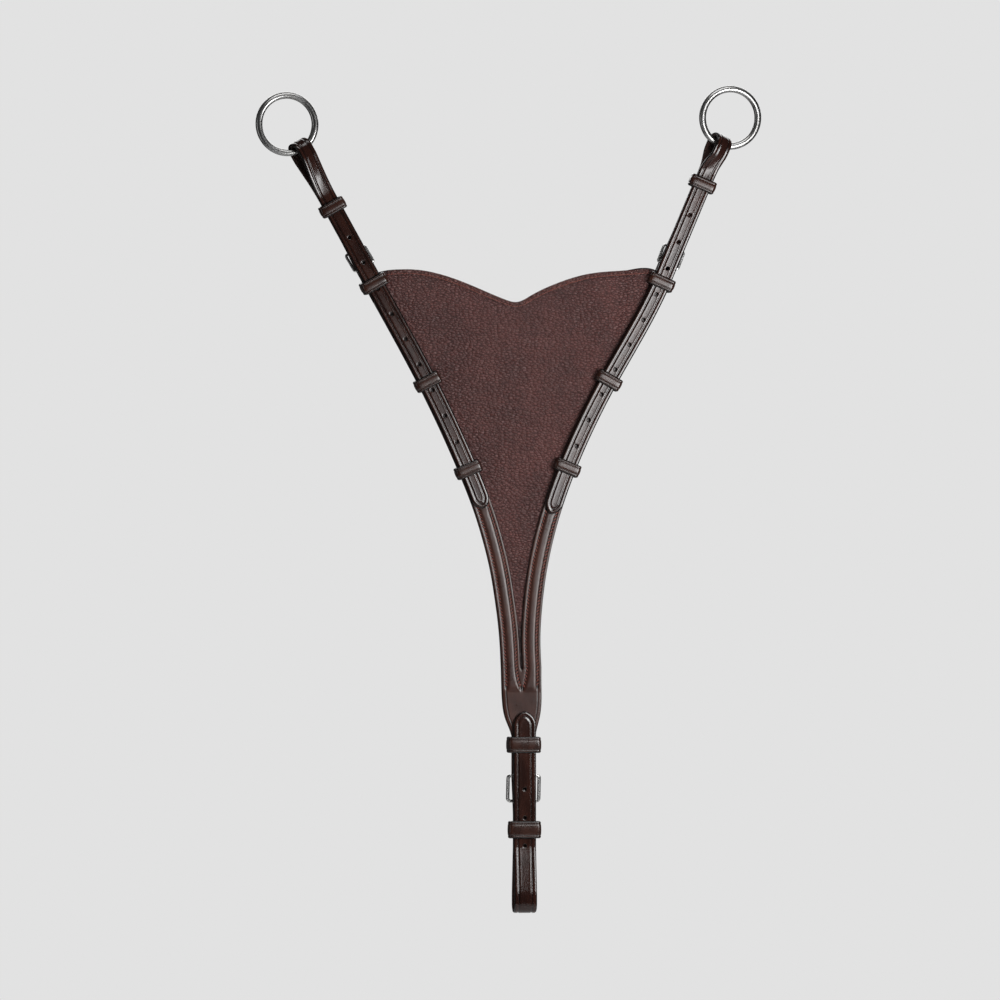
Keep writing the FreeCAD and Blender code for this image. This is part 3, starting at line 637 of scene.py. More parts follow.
def strap_mesh(side):
    """One whole strap: tail behind the buckle, rear run, fold, front run, and its punched, pointed end."""
    kind, sizes = kind_of(side), STRAPS[side]
    half, point = kind["width"] / 2, kind["point"]
    h, u, v = heel(side), upward(side), across(side)
    line, turn_at, holes = strap_line(side)
    cols = strap_section(half, kind["crease"])
    rows = strap_rows(line.length, holes, point)

    # distance of each grid point from the strap's outline, which the crease follows round the point
    s = rows[:, None]
    rest = np.clip((line.length - s) / point, 0, 1)
    width = half * np.maximum(pointed(rest), 0.02)
    vv = cols[None, :] / half * width
    ss = np.broadcast_to(s, vv.shape)
    d = width - np.abs(vv)
    shares = np.linspace(0, 1, 60)
    outline = np.stack([line.length - point * shares, half * pointed(shares)], 1)
    end = ss > line.length - point - 6
    grid = np.stack([ss[end], np.abs(vv[end])], 1)
    d[end] = np.minimum(d[end], np.linalg.norm(grid[:, None, :] - outline[None], axis=2).min(1))
    d = np.minimum(d, ss)

    # the leather is pared thinner towards its point, and its back has a small rounded edge
    tops = (STRAP / 2 + grain_profile(d, kind["crease"])) * (1 - 0.28 * (1 - rest ** 0.5))
    eased = 0.6 - np.sqrt(np.maximum(0.36 - (0.6 - np.minimum(d, 0.6)) ** 2, 0))
    lows = -STRAP / 2 + np.where(d < 0.6, eased, 0.0)

    centre = line.at(rows)
    tangent = line.tangent(rows, 0.5)
    wide = np.where((rows <= turn_at)[:, None], v[None], np.cross(FRONT[None], tangent))
    wide /= np.linalg.norm(wide, axis=1)[:, None]
    out = np.cross(tangent, wide)
    twist_from = sizes["runner_at"] + kind["keeper_length"] / 2 + 2

    def settle(point):
        """Turns the loop about its own length towards the ring."""
        rel = point - h * [1, 0, 1]
        along, side_way, depth = rel @ u, rel @ v, rel[1]
        share = float(ease((along - twist_from) / (sizes["fold_at"] - twist_from - FOLD_LEAD)))
        t = share * math.radians(sizes["twist"])
        a = side_way * math.cos(t) - depth * math.sin(t)
        y = side_way * math.sin(t) + depth * math.cos(t)
        return h * [1, 0, 1] + u * along + v * a + np.array([0, y, 0])

    b = Builder()
    top, low = np.zeros(vv.shape, int), np.zeros(vv.shape, int)
    for i in range(len(rows)):
        for j in range(len(cols)):
            # rim and crease paint shade into the colour: near black on the rounded edges and in the pressed
            # crease's valley
            rim = float(np.clip(1.15 - d[i, j] / 1.5, 0, 1))
            crease = 0.62 * math.exp(-((d[i, j] - kind["crease"]) / 0.85) ** 2)
            middle = centre[i] + wide[i] * vv[i, j]
            top[i, j] = b.add(settle(middle + out[i] * tops[i, j]), (rows[i], vv[i, j], 0), max(rim, crease))
            low[i, j] = b.add(settle(middle + out[i] * lows[i, j]), (rows[i], vv[i, j], -9), rim)

    inner = [j for j in range(len(cols)) if abs(cols[j]) <= PATCH_HALF + 0.01]
    j0, j1 = inner[0], inner[-1]
    taken = set()
    for at, reach, wide_r in holes:
        patch = [i for i in range(len(rows)) if abs(rows[i] - at) <= reach + PATCH_MARGIN + 0.01]
        i0, i1 = patch[0], patch[-1]
        taken |= {(i, j) for i in range(i0, i1) for j in range(j0, j1)}
        loop = [(i0, j) for j in range(j0, j1)] + [(i, j1) for i in range(i0, i1)]
        loop += [(i1, j) for j in range(j1, j0, -1)] + [(i, j0) for i in range(i1, i0, -1)]
        chain = [[top[spot] for spot in loop]]
        for scale, face, lift, rim in HOLE_RINGS:
            ring = []
            for i, j in loop:
                angle = math.atan2(cols[j] / PATCH_HALF, (rows[i] - at) / (reach + PATCH_MARGIN))
                s_here = at + math.cos(angle) * (reach * scale + (0 if reach < 2 else 0.2))
                v_here = math.sin(angle) * wide_r * scale
                c, t = line.at(s_here), line.tangent(s_here, 0.5)
                w = v if s_here <= turn_at else unit(np.cross(FRONT, t))
                spot = c + w * v_here + np.cross(t, w) * (face * STRAP / 2 + lift)
                ring.append(b.add(settle(spot), (s_here, v_here, 0 if face > 0 else -9), rim))
            chain.append(ring)
        chain.append([low[spot] for spot in loop])
        chain = [row + row[:1] for row in chain]
        for i, k in enumerate([0, 0, 1, 1, 2, 2]):
            for j in range(len(loop)):
                b.cell(chain, i, j, k, True)

    last_i, last_j = len(rows) - 1, len(cols) - 1
    for i in range(last_i):
        for j in range(last_j):
            if (i, j) not in taken:
                b.cell(top, i, j, 0)
                b.cell(low, i, j, 2, True)
        for j, flip in ((0, False), (last_j, True)):
            b.wall(top[i:i + 2, j], low[i:i + 2, j], 1, flip)
    for i, flip in ((0, True), (last_i, False)):
        b.wall(top[i], low[i], 1, flip)
    obj = b.make(
        f"{side}_strap_leather", [strap_leather, edge_ink, flesh],
        nodes=[f"{side}_strap_loop", f"{side}_strap_billet", f"{side}_strap_tail"],
    )
    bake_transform(obj)


# ---- keepers --------------------------------------------------------------------------------

def rounded_loop(width, low, high, radius, per_corner=8, per_side=6):
    """Points and outward directions round a rounded rectangle, with the same count for any size."""
    half = width / 2
    points, normals = [], []
    corners = [(half - radius, high - radius, 0), (-half + radius, high - radius, 90),
               (-half + radius, low + radius, 180), (half - radius, low + radius, 270)]
    for index, (cx, cy, start) in enumerate(corners):
        for k in range(per_corner + 1):
            a = math.radians(start + 90 * k / per_corner)
            points.append((cx + radius * math.cos(a), cy + radius * math.sin(a)))
            normals.append((math.cos(a), math.sin(a)))
        nx, ny, next_start = corners[(index + 1) % 4]
        next_a = math.radians(next_start)
        a = math.radians(start + 90)
        here = points[-1]
        there = (nx + radius * math.cos(next_a), ny + radius * math.sin(next_a))
        for k in range(1, per_side):
            f = k / per_side
            points.append((here[0] + (there[0] - here[0]) * f, here[1] + (there[1] - here[1]) * f))
            normals.append((math.cos(a), math.sin(a)))
    return np.array(points), np.array(normals)


def keeper(name, node, body, centre, wide, along, kind, length, front, back):
    """Leather loop with a domed, twice creased face, sewn where its ends meet at the back."""
    width = kind["keeper_inner"]
    outer, normals = rounded_loop(width + 2 * KEEPER_SIDE, front - KEEPER_WALL, back + KEEPER_WALL, 2.4)
    inner, _ = rounded_loop(width, front, back, 0.9)
    half = length / 2
    dome, crease_at, crease_depth = 0.6, 2.5, 0.3
    near_edge = (0.0, 0.2, 0.5, 0.9, 1.4, 1.9, 2.2, crease_at, 2.8, 3.2)
    ws = np.array(sorted([-half + e for e in near_edge] + [half * f for f in (-0.45, -0.22, 0, 0.22, 0.45)]
                         + [half - e for e in near_edge]))
    d = half - np.abs(ws)
    profile = dome * (1 - (ws / half) ** 2) - crease_depth * bell(d, crease_at, 0.45) - rounding(d, 1.5, 0.95)
    b = Builder()
    lengths = np.concatenate([[0], np.cumsum(np.linalg.norm(np.diff(outer, axis=0), axis=1))])
    tops, lows = [], []
    for p, (spot, normal) in enumerate(zip(outer, normals)):
        # straight sides bow out a little, as stretched leather does
        sag = 0.25 * max(0.0, abs(normal[0])) ** 4
        row_top, row_low = [], []
        for w, lift, dd in zip(ws, profile, d):
            x = spot[0] + normal[0] * (lift + sag)
            y = spot[1] + normal[1] * lift
            # painted shade, near black, on the rounded edges and in the pressed creases
            rim = max(float(np.clip(1.2 - dd / 1.5, 0, 1)), 0.6 * math.exp(-((dd - crease_at) / 0.5) ** 2))
            row_top.append(b.add(centre + wide * x + BACK * y + along * w, (w, lengths[p], 3), rim))
            inside = centre + wide * inner[p][0] + BACK * inner[p][1] + along * w * 0.985
            row_low.append(b.add(inside, (w, lengths[p], -3), rim))
        tops.append(row_top)
        lows.append(row_low)
    tops, lows = tops + tops[:1], lows + lows[:1]
    for p in range(len(outer)):
        for j in range(len(ws) - 1):
            b.cell(tops, p, j, 0, True)
            b.cell(lows, p, j, 2)
        b.face([tops[p][0], lows[p][0], lows[p + 1][0], tops[p + 1][0]], 1)
        b.face([tops[p][-1], tops[p + 1][-1], lows[p + 1][-1], lows[p][-1]], 1)
    # three short stitches across the join at the back
    for w in (-half * 0.4, 0.0, half * 0.4):
        a, c = (centre + wide * 1.3 * end + BACK * (back + KEEPER_WALL + 0.42) + along * (w + 0.5 * end)
                for end in (-1, 1))
        capsule(b, a, c, 0.3, kind=3)
    b.make(name, [keeper_leather, edge_ink, flesh, thread_red], [node], body)


def all_keepers():
    fixed_front, sliding = -3.25, 3.35
    for side in ("left", "right"):
        for name, index in KEEPER_POINTS.items():
            s = arm[side].nearest(ARM_ROUTES[side][index])
            p, t = arm[side].at(s), arm[side].tangent(s, 3.0)
            along = np.array([-t[0], 0, -t[1]])
            wide = np.array([along[2], 0, -along[0]])
            keeper(f"{side}_{name}_loop", f"{side}_{name}_keeper", "bib", plan(p, 0), wide, along,
                   KINDS["side"], SIDE_KEEPER, fixed_front, KEEPER_BACKS[name])
    keeper("neck_loop", "neck_keeper", "bib", np.array([0, 0, NECK_KEEPER_Z]), np.array([1.0, 0, 0]),
           np.array([0, 0, 1.0]), KINDS["bottom"], NECK_KEEPER, fixed_front, 11.0)
    for side in STRAPS:
        kind = kind_of(side)
        centre = heel(side) * [1, 0, 1] + upward(side) * STRAPS[side]["runner_at"]
        keeper(f"{side}_sliding_loop", f"{side}_runner", f"{side}_runner", centre, across(side), upward(side),
               kind, kind["keeper_length"], -sliding, sliding)


# ---- fork -----------------------------------------------------------------------------------

neck_edge = {side: Line(smooth(points)) for side, points in NECK.items()}
neck_middle = Line(smooth(NECK_MIDDLE))


def at_height(line, z):
    order = np.argsort(line.points[:, 1])
    return float(np.interp(z, line.points[order, 1], line.points[order, 0]))


def on_arm(side, s):
    """Plan point on an arm's middle at a distance below its heel bar, and the direction across it."""
    return arm[side].at(s), sideways(arm[side].tangent(s, 2.0))


def arm_edges(side, s):
    """Points on the arm's two edges at a distance below its heel bar: towards -X, then towards +X."""
    p, w = on_arm(side, s)
    half = ARM_HALF if s > 14 else 7.5 + (ARM_HALF - 7.5) * float(ease(s / 14))
    return p - w * half, p + w * half


def slot_opening(d):
    """Half width of the tongue's slot at a distance below the heel bar."""
    return SLOT_HALF * math.sqrt(max(0.0, 1 - (d / SLOT_REACH) ** 2)) if d < SLOT_REACH else 0.0


def turned_end(side, lo, hi):
    """Rows of a ply round a heel bar, from its front face over the bar and down behind."""
    h, u, v = heel(side), upward(side), across(side)
    if side == "bottom":
        v = -v
    r = kind_of(side)["bar"] / 2 + ROOM + FORK_PLY / 2
    made = []
    for k in range(13):
        a = math.pi * k / 12
        c = h + u * r * math.sin(a) - BACK * r * math.cos(a)
        n = u * math.sin(a) - BACK * math.cos(a)
        made.append((c + v * lo, c + v * hi, n, SLOT_HALF if 0 < k < 12 else 2.0))
    for d in np.concatenate([[1.5, 3.0, 4.0, 5.0], np.arange(7.0, TURNED_END + 0.1, 2.1)]):
        c = h - u * d + BACK * r
        made.append((c + v * lo, c + v * hi, BACK, slot_opening(d)))
    return made


def fork_rows(side, is_lining):
    """Rows of one half of the fork, from its turned end at the neck up to the one at its arm.
    Each is (edge towards -X, edge towards +X, outward, slot opening in the middle, opening at the
    inner edge). The last is -1 where the arm stands alone, and 0 where the neck's halves join."""
    rows = []
    outward = -FRONT if is_lining else FRONT
    y = (FORK_LINING_Y + FORK_LINING_BACK) / 2 if is_lining else (FORK_FRONT_Y + BIB_FRONT_Y) / 2
    start = 7.0 if is_lining else 0.6
    if not is_lining:
        half = KINDS["bottom"]["turn"] / 2
        lo, hi = (-half, 0.0) if side == "left" else (0.0, half)
        rows += [(a, c, n, 0.0, opening) for a, c, n, opening in reversed(turned_end("bottom", lo, hi))]
    bottom = heel("bottom")[2]
    for z in np.arange(bottom + start, NECK_ROWS_TOP, 1.3):
        edge, mid = at_height(neck_edge[side], z), at_height(neck_middle, z)
        a, c = ((edge, z), (mid, z)) if side == "left" else ((mid, z), (edge, z))
        rows.append((plan(a, y), plan(c, y), outward, 0.0, 0.0 if is_lining else slot_opening(z - bottom)))
    for s in np.arange(arm[side].length, start, -1.5):
        a, c = arm_edges(side, s)
        rows.append((plan(a, y), plan(c, y), outward, 0.0 if is_lining else slot_opening(s), -1.0))
    if not is_lining:
        half = KINDS["side"]["turn"] / 2
        rows += [row + (-1.0,) for row in turned_end(side, -half, half)]
    return rows


def stitch_lines():
    """Plan lines of the fork's four stitch rows: outer and inner on each arm."""
    lines = {}
    for side, sign in (("left", -1), ("right", 1)):
        outer, inner = [], []
        for s in np.arange(16, arm[side].length, 2.0):
            p, w = on_arm(side, s)
            outer.append(p + w * sign * (ARM_HALF - 3.6))
            inner.append(p - w * sign * (ARM_HALF - STITCH_INSET))
        for z in np.arange(NECK_STITCH_TOP, STITCH_APEX[1], -2.0):
            outer.append(np.array([at_height(neck_edge[side], z) - sign * STITCH_INSET, z]))
        last = inner[-1]
        apex = np.array(STITCH_APEX) + np.array([sign * 0.5, 0])
        for k in range(1, 12):
            f = k / 11
            bow = np.array([sign * 0.8 * math.sin(math.pi * f), 0])
            inner.append(last + (apex - last) * f + bow)
        lines[side] = (Line(outer), Line(inner))
    return lines


rows_of_stitches = stitch_lines()
stitch_points = np.concatenate([line.at(np.arange(0, line.length, 0.5))
                                for pair in rows_of_stitches.values() for line in pair])


def distance_to_stitches(xz):
    out = np.full(len(xz), 99.0)
    for start in range(0, len(xz), 2000):
        part = xz[start:start + 2000]
        out[start:start + 2000] = np.sqrt(((part[:, None, :] - stitch_points[None]) ** 2).sum(2).min(1))
    return out


def fork_relief(side, is_lining, xs, z, near, from_edge):
    """Height that pressing and stitching give one row of a flat face of the fork, and the painted shade in its
    stitch grooves and along the neck's crease.
    """
    # painted shade in the stitch grooves
    painted_shade = 0.95 * bell(near, 0.0, 1.0)
    groove = -0.5 * bell(near, 0.0, 0.85)
    crease_at = 3.6
    padding = np.zeros(len(xs))
    strength = 0.0
    if not is_lining:
        strength = float(ease((ARM_ROUTES[side][TIP_POINT][1] + 6 - z) / 10) * ease((z - 181) / 7))
    if z > STITCH_APEX[1] and strength > 0:
        # padded between the two stitch rows
        lo, hi = sorted(line.points[np.argmin(np.abs(line.points[:, 1] - z)), 0]
                        for line in rows_of_stitches[side])
        padding = 0.75 * strength * ease(np.minimum(xs - lo, hi - xs) / 3.2)
    else:
        # plain crease along the neck's edges below the stitching
        fade = 0.0 if is_lining else float(ease((STITCH_APEX[1] + 1 - z) / 3))
        padding -= fade * 0.25 * bell(from_edge, crease_at, 0.35)
        # painted shade along the neck's crease
        painted_shade = np.maximum(painted_shade, fade * 0.8 * bell(from_edge, crease_at, 0.5))
        padding -= fade * 0.3 * np.clip(1 - from_edge / crease_at, 0, 1) ** 1.3
    return padding + groove, painted_shade


def fork_mesh(name, is_lining):
    """The fork's leather: padded between its stitch rows, creased down the neck, slit between the arms."""
    b = Builder()
    ply = FORK_LINING_BACK - FORK_LINING_Y if is_lining else FORK_PLY
    edge_steps = np.array([0.0, 0.2, 0.5, 0.9, 1.4, 2.0, 2.5, 2.9, 3.3, 3.7, 4.1, 4.5, 5.1, 6.0, 7.1])
    for side, sign in (("left", -1), ("right", 1)):
        rows = fork_rows(side, is_lining)
        grid = []
        for a, c, n, slot, slit in rows:
            w = unit(c - a)
            if slit > 0:
                # the tongue's slot at the neck takes the inner edge of this half
                if side == "left":
                    c = c - w * slit
                else:
                    a = a + w * slit
            wide = np.linalg.norm(c - a)
            half = wide / 2
            offsets = np.concatenate([edge_steps * (half / ARM_HALF), [half - slot]])
            joined = slit == 0
            row = []
            for t in np.concatenate([offsets, wide - offsets[::-1]]):
                from_left = 99 if joined and side == "right" else t
                from_right = 99 if joined and side == "left" else wide - t
                d = min(from_left, from_right)
                back_edge = 0.5 - math.sqrt(max(0.25 - (0.5 - min(d, 0.5)) ** 2, 0))
                # the rim value paints shade on the rounded edges
                row.append((a + w * t, t, d, float(np.clip(1 - d / 0.9, 0, 1)),
                            ply / 2 - float(rounding(d, 1.3, 0.85)), -ply / 2 + back_edge))
            grid.append(row)
        pts = np.array([[cell[0] for cell in row] for row in grid])
        near = distance_to_stitches(pts[:, :, [0, 2]].reshape(-1, 2)).reshape(pts.shape[:2])
        m = pts.shape[1]
        top, low = np.zeros(pts.shape[:2], int), np.zeros(pts.shape[:2], int)
        along = 0.0
        for i, row in enumerate(grid):
            if i:
                along += float(np.linalg.norm(pts[i][m // 2] - pts[i - 1][m // 2]))
            n = rows[i][2]
            relief = painted_shade = np.zeros(m)
            facing = abs(n[1]) > 0.99 and ((n[1] < 0) != is_lining)
            if facing and (pts[i][0][1] < 3.0 or is_lining):
                from_edge = np.array([cell[2] for cell in row])
                z = pts[i][m // 2][2]
                relief, painted_shade = fork_relief(side, is_lining, pts[i][:, 0], z, near[i], from_edge)
            for k, (p, t, d, rim, lift, drop) in enumerate(row):
                top[i, k] = b.add(p + n * (lift + relief[k]), (along, t * sign, 5), max(rim, float(painted_shade[k])))
                low[i, k] = b.add(p + n * drop, (along, t * sign, -5), rim)
        mid = m // 2 - 1
        columns = [k for k in range(m - 1) if k != mid]
        outer_col, inner_col = (0, m - 1) if side == "left" else (m - 1, 0)
        for i in range(len(rows) - 1):
            for k in columns:
                b.cell(top, i, k, 0)
                b.cell(low, i, k, 2, True)
            walls = [outer_col]
            if rows[i][4] != 0 or rows[i + 1][4] != 0:
                walls.append(inner_col)
            if rows[i][3] > 0 or rows[i + 1][3] > 0:
                walls += [mid, mid + 1]
            for k in walls:
                b.wall(top[i:i + 2, k], low[i:i + 2, k], 1)
        for i in (0, len(rows) - 1):
            for k in columns:
                b.wall(top[i, k:k + 2], low[i, k:k + 2], 1)
    if is_lining:
        b.make(name, [lining, edge_ink, lining], ["fork_lining"], "bib")
    else:
        b.make(name, [fork_leather, edge_ink, flesh], ["fork_front"], "bib")


def fork_stitching():
    """Slanted thread stitches in the fork's grooves, front and back."""
    b = Builder()
    for side, pair in rows_of_stitches.items():
        for which, line in enumerate(pair):
            lean = (1 if which == 0 else -1) * (1 if side == "left" else -1)
            for k in range(int(line.length / STITCH_PITCH)):
                s = (k + 0.5) * STITCH_PITCH
                p, t = line.at(s), line.tangent(s, 1.0)
                slant = unit(t * 0.74 + sideways(t) * 0.67 * lean)
                jitter = random.uniform(-0.08, 0.08)
                a, c = p - slant * (0.95 + jitter), p + slant * (0.95 - jitter)
                capsule(b, plan(a, FORK_FRONT_Y + 0.1), plan(c, FORK_FRONT_Y - 0.35), 0.48)
                capsule(b, plan(a, FORK_LINING_BACK - 0.1), plan(c, FORK_LINING_BACK + 0.02), 0.4, 6)
    b.make("fork_stitching", [thread_red], body="bib", weld=False)


# ---- bib ------------------------------------------------------------------------------------

def wave(x, z):
    """Soft fullness of the bib between the arms, back and forth."""
    ripple = 1.5 * math.exp(-((x - 84) / 8) ** 2) * float(ease((z - 395) / 60))
    ripple -= 1.1 * math.exp(-((x - 66) / 10) ** 2) * float(ease((z - 400) / 70))
    belly = -0.9 * math.exp(-((x + 8) / 60) ** 2 - ((z - 455) / 75) ** 2)
    left = 0.8 * math.exp(-((x + 70) / 14) ** 2) * float(ease((z - 430) / 60))
    return ripple + belly + left


def held(x, z):
    """1 in the free middle of the bib, 0 where the arms hold it."""
    near = min(float(np.min(np.linalg.norm(arm[side].points - np.array([x, z]), axis=1))) for side in arm)
    return float(ease((near - 9.0) / 16.0))


def bib_drift(x, z):
    return wave(x, z) * held(x, z)


def bib_grid():
    """Plan points of the bib, row by row from its top edge down, spread between its four edges."""
    across_n, down_n = 120, 150
    edges = {}
    for side, sign in (("left", -1), ("right", 1)):
        points = []
        for s in np.linspace(9, arm[side].length - 0.5, down_n):
            under_arm = 5.0 * float(ease((arm[side].length - 30 - s) / 60)) + 0.5
            p, w = on_arm(side, s)
            points.append(p + w * sign * under_arm)
        edges[side] = np.array(points)
        edges[side][-8:, 1] -= np.linspace(0, BIB_DROP, 8)
    top_line = Line(smooth(TOP_EDGE))
    top = top_line.at(np.linspace(0, top_line.length, across_n))
    left, right = edges["left"], edges["right"]
    left[0], right[0] = top[0], top[-1]
    foot = [left[-1] + (right[-1] - left[-1]) * t for t in np.linspace(0, 1, across_n)]
    grid = np.zeros((down_n, across_n, 2))
    for i, fv in enumerate(np.linspace(0, 1, down_n)):
        for j, fu in enumerate(np.linspace(0, 1, across_n)):
            grid[i, j] = (1 - fv) * top[j] + fv * foot[j] + (1 - fu) * left[i] + fu * right[i]
            grid[i, j] -= ((1 - fu) * (1 - fv) * top[0] + fu * (1 - fv) * top[-1]
                           + (1 - fu) * fv * foot[0] + fu * fv * foot[-1])
    return grid


def bib_layer(name, grid, front, back, materials, node):
    """One layer of the bib, between two depths."""
    b = Builder()
    rows, cols = grid.shape[:2]
    tops, lows = np.zeros((rows, cols), int), np.zeros((rows, cols), int)
    for i in range(rows):
        for j in range(cols):
            x, z = grid[i, j]
            dy = bib_drift(x, z)
            # below BIB_SHADOW the colour takes painted shade where the bib lies in the slit; the top row is
            # darkened too
            edge = 1.0 if i == 0 else float(ease((BIB_SHADOW - z) / SHADOW_FADE))
            tops[i, j] = b.add(np.array([x, front + dy, z]), (x, 0, z), edge)
            lows[i, j] = b.add(np.array([x, back + dy, z]), (x, 9, z), edge)
    for i in range(rows - 1):
        for j in range(cols - 1):
            b.cell(tops, i, j, 0, True)
            b.cell(lows, i, j, 1)
    loop = [(0, j) for j in range(cols)] + [(i, cols - 1) for i in range(1, rows)]
    loop += [(rows - 1, j) for j in range(cols - 2, -1, -1)] + [(i, 0) for i in range(rows - 2, -1, -1)]
    b.wall([tops[spot] for spot in loop], [lows[spot] for spot in loop], 2)
    b.make(name, materials, [node], "bib")


def binding():
    """Thin leather folded over the top edge, and its row of stitches."""
    b = Builder()
    threads = Builder()
    front, back = BIB_FRONT_Y, FORK_LINING_Y
    # outline of the folded leather as (height over the edge, depth)
    section = [(-4.3, front - 0.1), (-4.2, front - 0.5), (-3.9, front - 0.62), (-3.1, front - 0.5),
               (-2.4, front - 0.62), (-1.2, front - 0.66), (-0.2, front - 0.55), (0.35, front - 0.2),
               (0.65, (front + back) / 2), (0.35, back + 0.2), (-0.2, back + 0.55), (-1.2, back + 0.66),
               (-2.6, back + 0.6), (-3.9, back + 0.55), (-4.25, back + 0.4), (-4.3, back + 0.1)]
    line = Line(smooth([BINDING_ENDS[0]] + TOP_EDGE[2:-2] + [BINDING_ENDS[1]]))
    rings = []
    for s in np.linspace(0, line.length, int(line.length / 1.5)):
        p, up = line.at(s), sideways(line.tangent(s, 1.5))
        ring = []
        for drop, y in section:
            q = p + up * drop
            spot = np.array([q[0], y + bib_drift(*q), q[1]])
            ring.append(b.add(spot, (s, drop, y), 1.0 if drop < -4.1 else 0.0))
        if rings:
            b.wall(rings[-1] + rings[-1][:1], ring + ring[:1], 0)
        else:
            b.face(ring, 0)
        rings.append(ring)
    b.face(rings[-1][::-1], 0)
    for k in range(int(line.length / RIM_PITCH)):
        s = (k + 0.5) * RIM_PITCH
        p, t = line.at(s), line.tangent(s, 1.5)
        up = sideways(t)
        centre = p - up * 3.1
        a, c = centre - t * 0.85 - up * 0.25, centre + t * 0.85 + up * 0.25
        dy = bib_drift(*centre)
        capsule(threads, plan(a, front - 0.56 + dy), plan(c, front - 0.66 + dy), 0.3, 6)
        capsule(threads, plan(a, back + 0.58 + dy), plan(c, back + 0.62 + dy), 0.3, 6)
    b.make("rim_binding", [binding_leather], ["top_binding"], "bib")
    threads.make("rim_stitching", [thread_red], body="bib", weld=False)


# ---- metal ----------------------------------------------------------------------------------

def ring(side):
    joint = joints[f"{side}_ring_swing"]
    axis, up = unit(joint["axis"]), upward(side)
    centre = np.array(joint["pos_m"]) * 1000 + up * RING_RADIUS
    depth = np.cross(axis, up)
    b = Builder()
    around, sides = 160, 28
    grid = []
    for i in range(around):
        a = 2 * math.pi * i / around
        out = axis * math.cos(a) + up * math.sin(a)
        row = []
        for k in range(sides):
            c = 2 * math.pi * k / sides
            p = centre + out * (RING_RADIUS + WIRE * math.cos(c)) + depth * WIRE * math.sin(c)
            row.append(b.add(p, (a * RING_RADIUS, c * WIRE, 0)))
        grid.append(row)
    b.closed(grid)
    b.make(f"{side}_rein_ring", [polished], [f"{side}_ring"], f"{side}_ring")


def buckle_frame(side):
    """Frame of round-edged bars, whose heel bar is round."""
    kind = kind_of(side)
    h, u, v = heel(side), upward(side), across(side)
    bar, length = kind["bar"], kind["frame_length"]
    tilt = math.asin(tip_place(kind)[0] / length)
    up = u * math.cos(tilt) + BACK * math.sin(tilt)
    out = np.cross(v, up)
    points, normals = rounded_loop(kind["frame_width"], 0.0, length, bar * 0.75, 8, 10)
    b = Builder()
    sides = 20
    grid = []
    run = 0.0
    for i, (p, n) in enumerate(zip(points, normals)):
        if i:
            run += float(np.linalg.norm(p - points[i - 1]))
        centre = h + v * p[0] + up * p[1]
        side_way = v * n[0] + up * n[1]
        heel_share = float(ease((2.5 - p[1]) / 2.5))
        power = 0.62 + 0.38 * heel_share
        row = []
        for k in range(sides):
            a = 2 * math.pi * k / sides
            ca, sa = math.cos(a), math.sin(a)
            x = math.copysign(abs(ca) ** power, ca) * bar / 2
            y = math.copysign(abs(sa) ** power, sa) * bar / 2 * (0.86 + 0.14 * heel_share)
            row.append(b.add(centre + side_way * x + out * y, (run, a * bar / 2, 0)))
        grid.append(row)
    b.closed(grid)
    b.make(f"{side}_buckle", [buckle_steel], [f"{side}_buckle_frame"], f"{side}_strap")


def buckle_tongue(side):
    """Tapered pin from the heel bar to the tip bar, and the eye that turns on the heel bar."""
    kind = kind_of(side)
    h, u, v = heel(side), upward(side), across(side)
    bar, pin = kind["bar"], kind["pin"]
    tip_depth, tip_along = tip_place(kind)
    start = h + BACK * bar / 2 + u * bar * 0.8
    rest = h + BACK * (tip_depth + bar / 2 + pin + ROOM) + u * tip_along
    d = unit(rest - start)
    end = rest + d * bar * 0.8
    b = Builder()
    shares = np.linspace(0, 1, 14)
    tip_steps = [(0.45, 0.8), (0.75, 0.5), (0.92, 0.2)]
    centres = [start + (end - start) * f for f in shares] + [end + d * pin * s for s, _ in tip_steps]
    radii = [pin * (1.12 - 0.24 * f) for f in shares] + [pin * 0.88 * r for _, r in tip_steps]
    tube(b, centres, radii, 16)
    inner, outer, wide = bar / 2 + 0.15, bar / 2 + 1.6, 0.6 * bar
    profile = [(inner, -wide), (outer - 0.4, -wide), (outer, -wide + 0.4), (outer, wide - 0.4),
               (outer - 0.4, wide), (inner, wide)]
    around = 40
    grid = []
    for i in range(around):
        a = 2 * math.pi * i / around
        o = u * math.cos(a) + BACK * math.sin(a)
        grid.append([b.add(h + o * r + v * x, (a * r, x, 0)) for r, x in profile])
    b.closed(grid)
    b.make(f"{side}_tongue_pin", [buckle_steel], [f"{side}_buckle_tongue"], f"{side}_tongue")


for side in STRAPS:
    strap_mesh(side)
    buckle_frame(side)
    buckle_tongue(side)
ring("left")
ring("right")
all_keepers()
fork_mesh("fork_leather_front", False)
fork_mesh("fork_leather_back", True)
fork_stitching()
grid = bib_grid()
bib_layer("bib_face", grid, BIB_FRONT_Y, BIB_LINING_Y - 0.02, [bib_leather, flesh, edge_ink],
          "bib_panel")
bib_layer("bib_back", grid, BIB_LINING_Y + 0.02, FORK_LINING_Y, [lining, lining, edge_ink],
          "bib_lining")
binding()


# ---- stage, in metres -----------------------------------------------------------------------

FLOOR_RADIUS, FLOOR_Z = 1.25, -0.37
STUDIO_GREY = (226, 226, 226)
FILL = 0.05         # strength of the surroundings, away from the camera's own rays
AIM = (0.0, 0.0, 0.36)
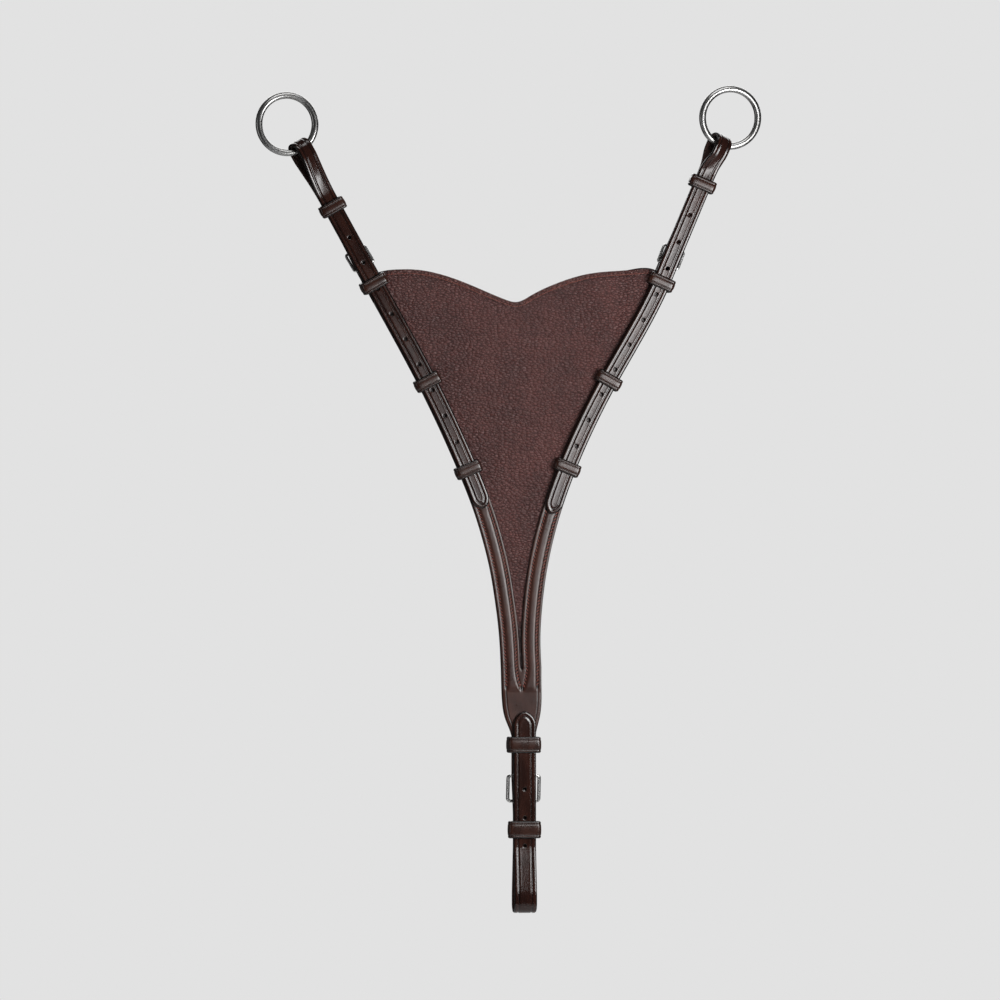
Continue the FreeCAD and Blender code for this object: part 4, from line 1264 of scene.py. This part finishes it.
# Soft boxes: place, size, power, and how far the long side tips towards +X, in degrees.
PANELS = {
    "key_panel": ((0.32, -0.75, 0.43), (0.26, 0.38), 3.0, 26.0),
    "right_front": ((0.5, -0.68, 0.35), (0.2, 0.42), 4.6, 0.0),
    "top_soft": ((0.1, -0.9, 1.9), (1.2, 0.6), 10.0, 0.0),
    "left_sheen": ((0.06, -0.75, 0.42), (0.1, 0.24), 0.14, -28.0),
    "low_soft": ((0.0, -1.4, -0.6), (1.2, 0.4), 4.6, 0.0),
    "back_soft": ((0.3, 1.3, 1.5), (2.4, 1.6), 30.0, 0.0),
    "left_edge": ((-1.3, -0.35, 0.4), (0.3, 1.0), 1.2, 0.0),
}
CAMERA_AZIMUTH, CAMERA_DISTANCE, FRAME_WIDTH, SENSOR = -9.0, 12.0, 0.87, 36.0
CAMERA_TARGET = np.array([-0.0215, 0.0, 0.3507])


def floor():
    mesh = bpy.data.meshes.new("floor")
    count = 96
    turns = [2 * math.pi * k / count for k in range(count)]
    rim = [(FLOOR_RADIUS * math.cos(a), FLOOR_RADIUS * math.sin(a), 0) for a in turns]
    mesh.from_pydata([(0, 0, 0)] + rim, [], [(0, k + 1, (k + 1) % count + 1) for k in range(count)])
    obj = bpy.data.objects.new("floor", mesh)
    obj.location = (0, 0, FLOOR_Z)
    n = Nodes("floor_pale")
    mesh.materials.append(n.finish(n.mix(n.noise(8, 2), srgb(226, 226, 226), srgb(230, 230, 230)), 0.8))
    bpy.context.scene.collection.objects.link(obj)


def panel(name, position, size, power, lean):
    light = bpy.data.lights.new(name, "AREA")
    light.shape = "RECTANGLE"
    light.size, light.size_y = size
    light.energy = power
    obj = bpy.data.objects.new(name, light)
    away = (Vector(position) - Vector(AIM)).normalized()
    up = Vector((math.sin(math.radians(lean)), 0.0, math.cos(math.radians(lean))))
    side = up.cross(away).normalized()
    turn = Matrix((side, away.cross(side), away)).transposed()
    obj.matrix_world = Matrix.Translation(position) @ turn.to_4x4()
    bpy.context.scene.collection.objects.link(obj)


def studio():
    """Plain pale backdrop for the camera, dim surroundings for everything else, and the soft boxes."""
    scene = bpy.context.scene
    world = bpy.data.worlds.new("studio")
    world.use_nodes = True
    nodes, links = world.node_tree.nodes, world.node_tree.links
    background = nodes["Background"]
    background.inputs["Color"].default_value = srgb(*STUDIO_GREY)
    dim = nodes.new("ShaderNodeBackground")
    dim.inputs["Color"].default_value = srgb(*STUDIO_GREY)
    dim.inputs["Strength"].default_value = FILL
    path = nodes.new("ShaderNodeLightPath")
    mix = nodes.new("ShaderNodeMixShader")
    links.new(path.outputs["Is Camera Ray"], mix.inputs["Fac"])
    links.new(dim.outputs[0], mix.inputs[1])
    links.new(background.outputs[0], mix.inputs[2])
    links.new(mix.outputs[0], nodes["World Output"].inputs["Surface"])
    scene.world = world
    scene.view_settings.view_transform = "Standard"
    for name, settings in PANELS.items():
        panel(name, *settings)


def camera():
    data = bpy.data.cameras.new("camera")
    data.sensor_width = SENSOR
    data.lens = SENSOR * CAMERA_DISTANCE / FRAME_WIDTH
    obj = bpy.data.objects.new("camera", data)
    a = math.radians(CAMERA_AZIMUTH)
    obj.location = CAMERA_TARGET + CAMERA_DISTANCE * np.array([math.sin(a), -math.cos(a), 0])
    obj.rotation_euler = (math.radians(90), 0, a)
    bpy.context.scene.collection.objects.link(obj)
    bpy.context.scene.camera = obj


floor()
studio()
camera()
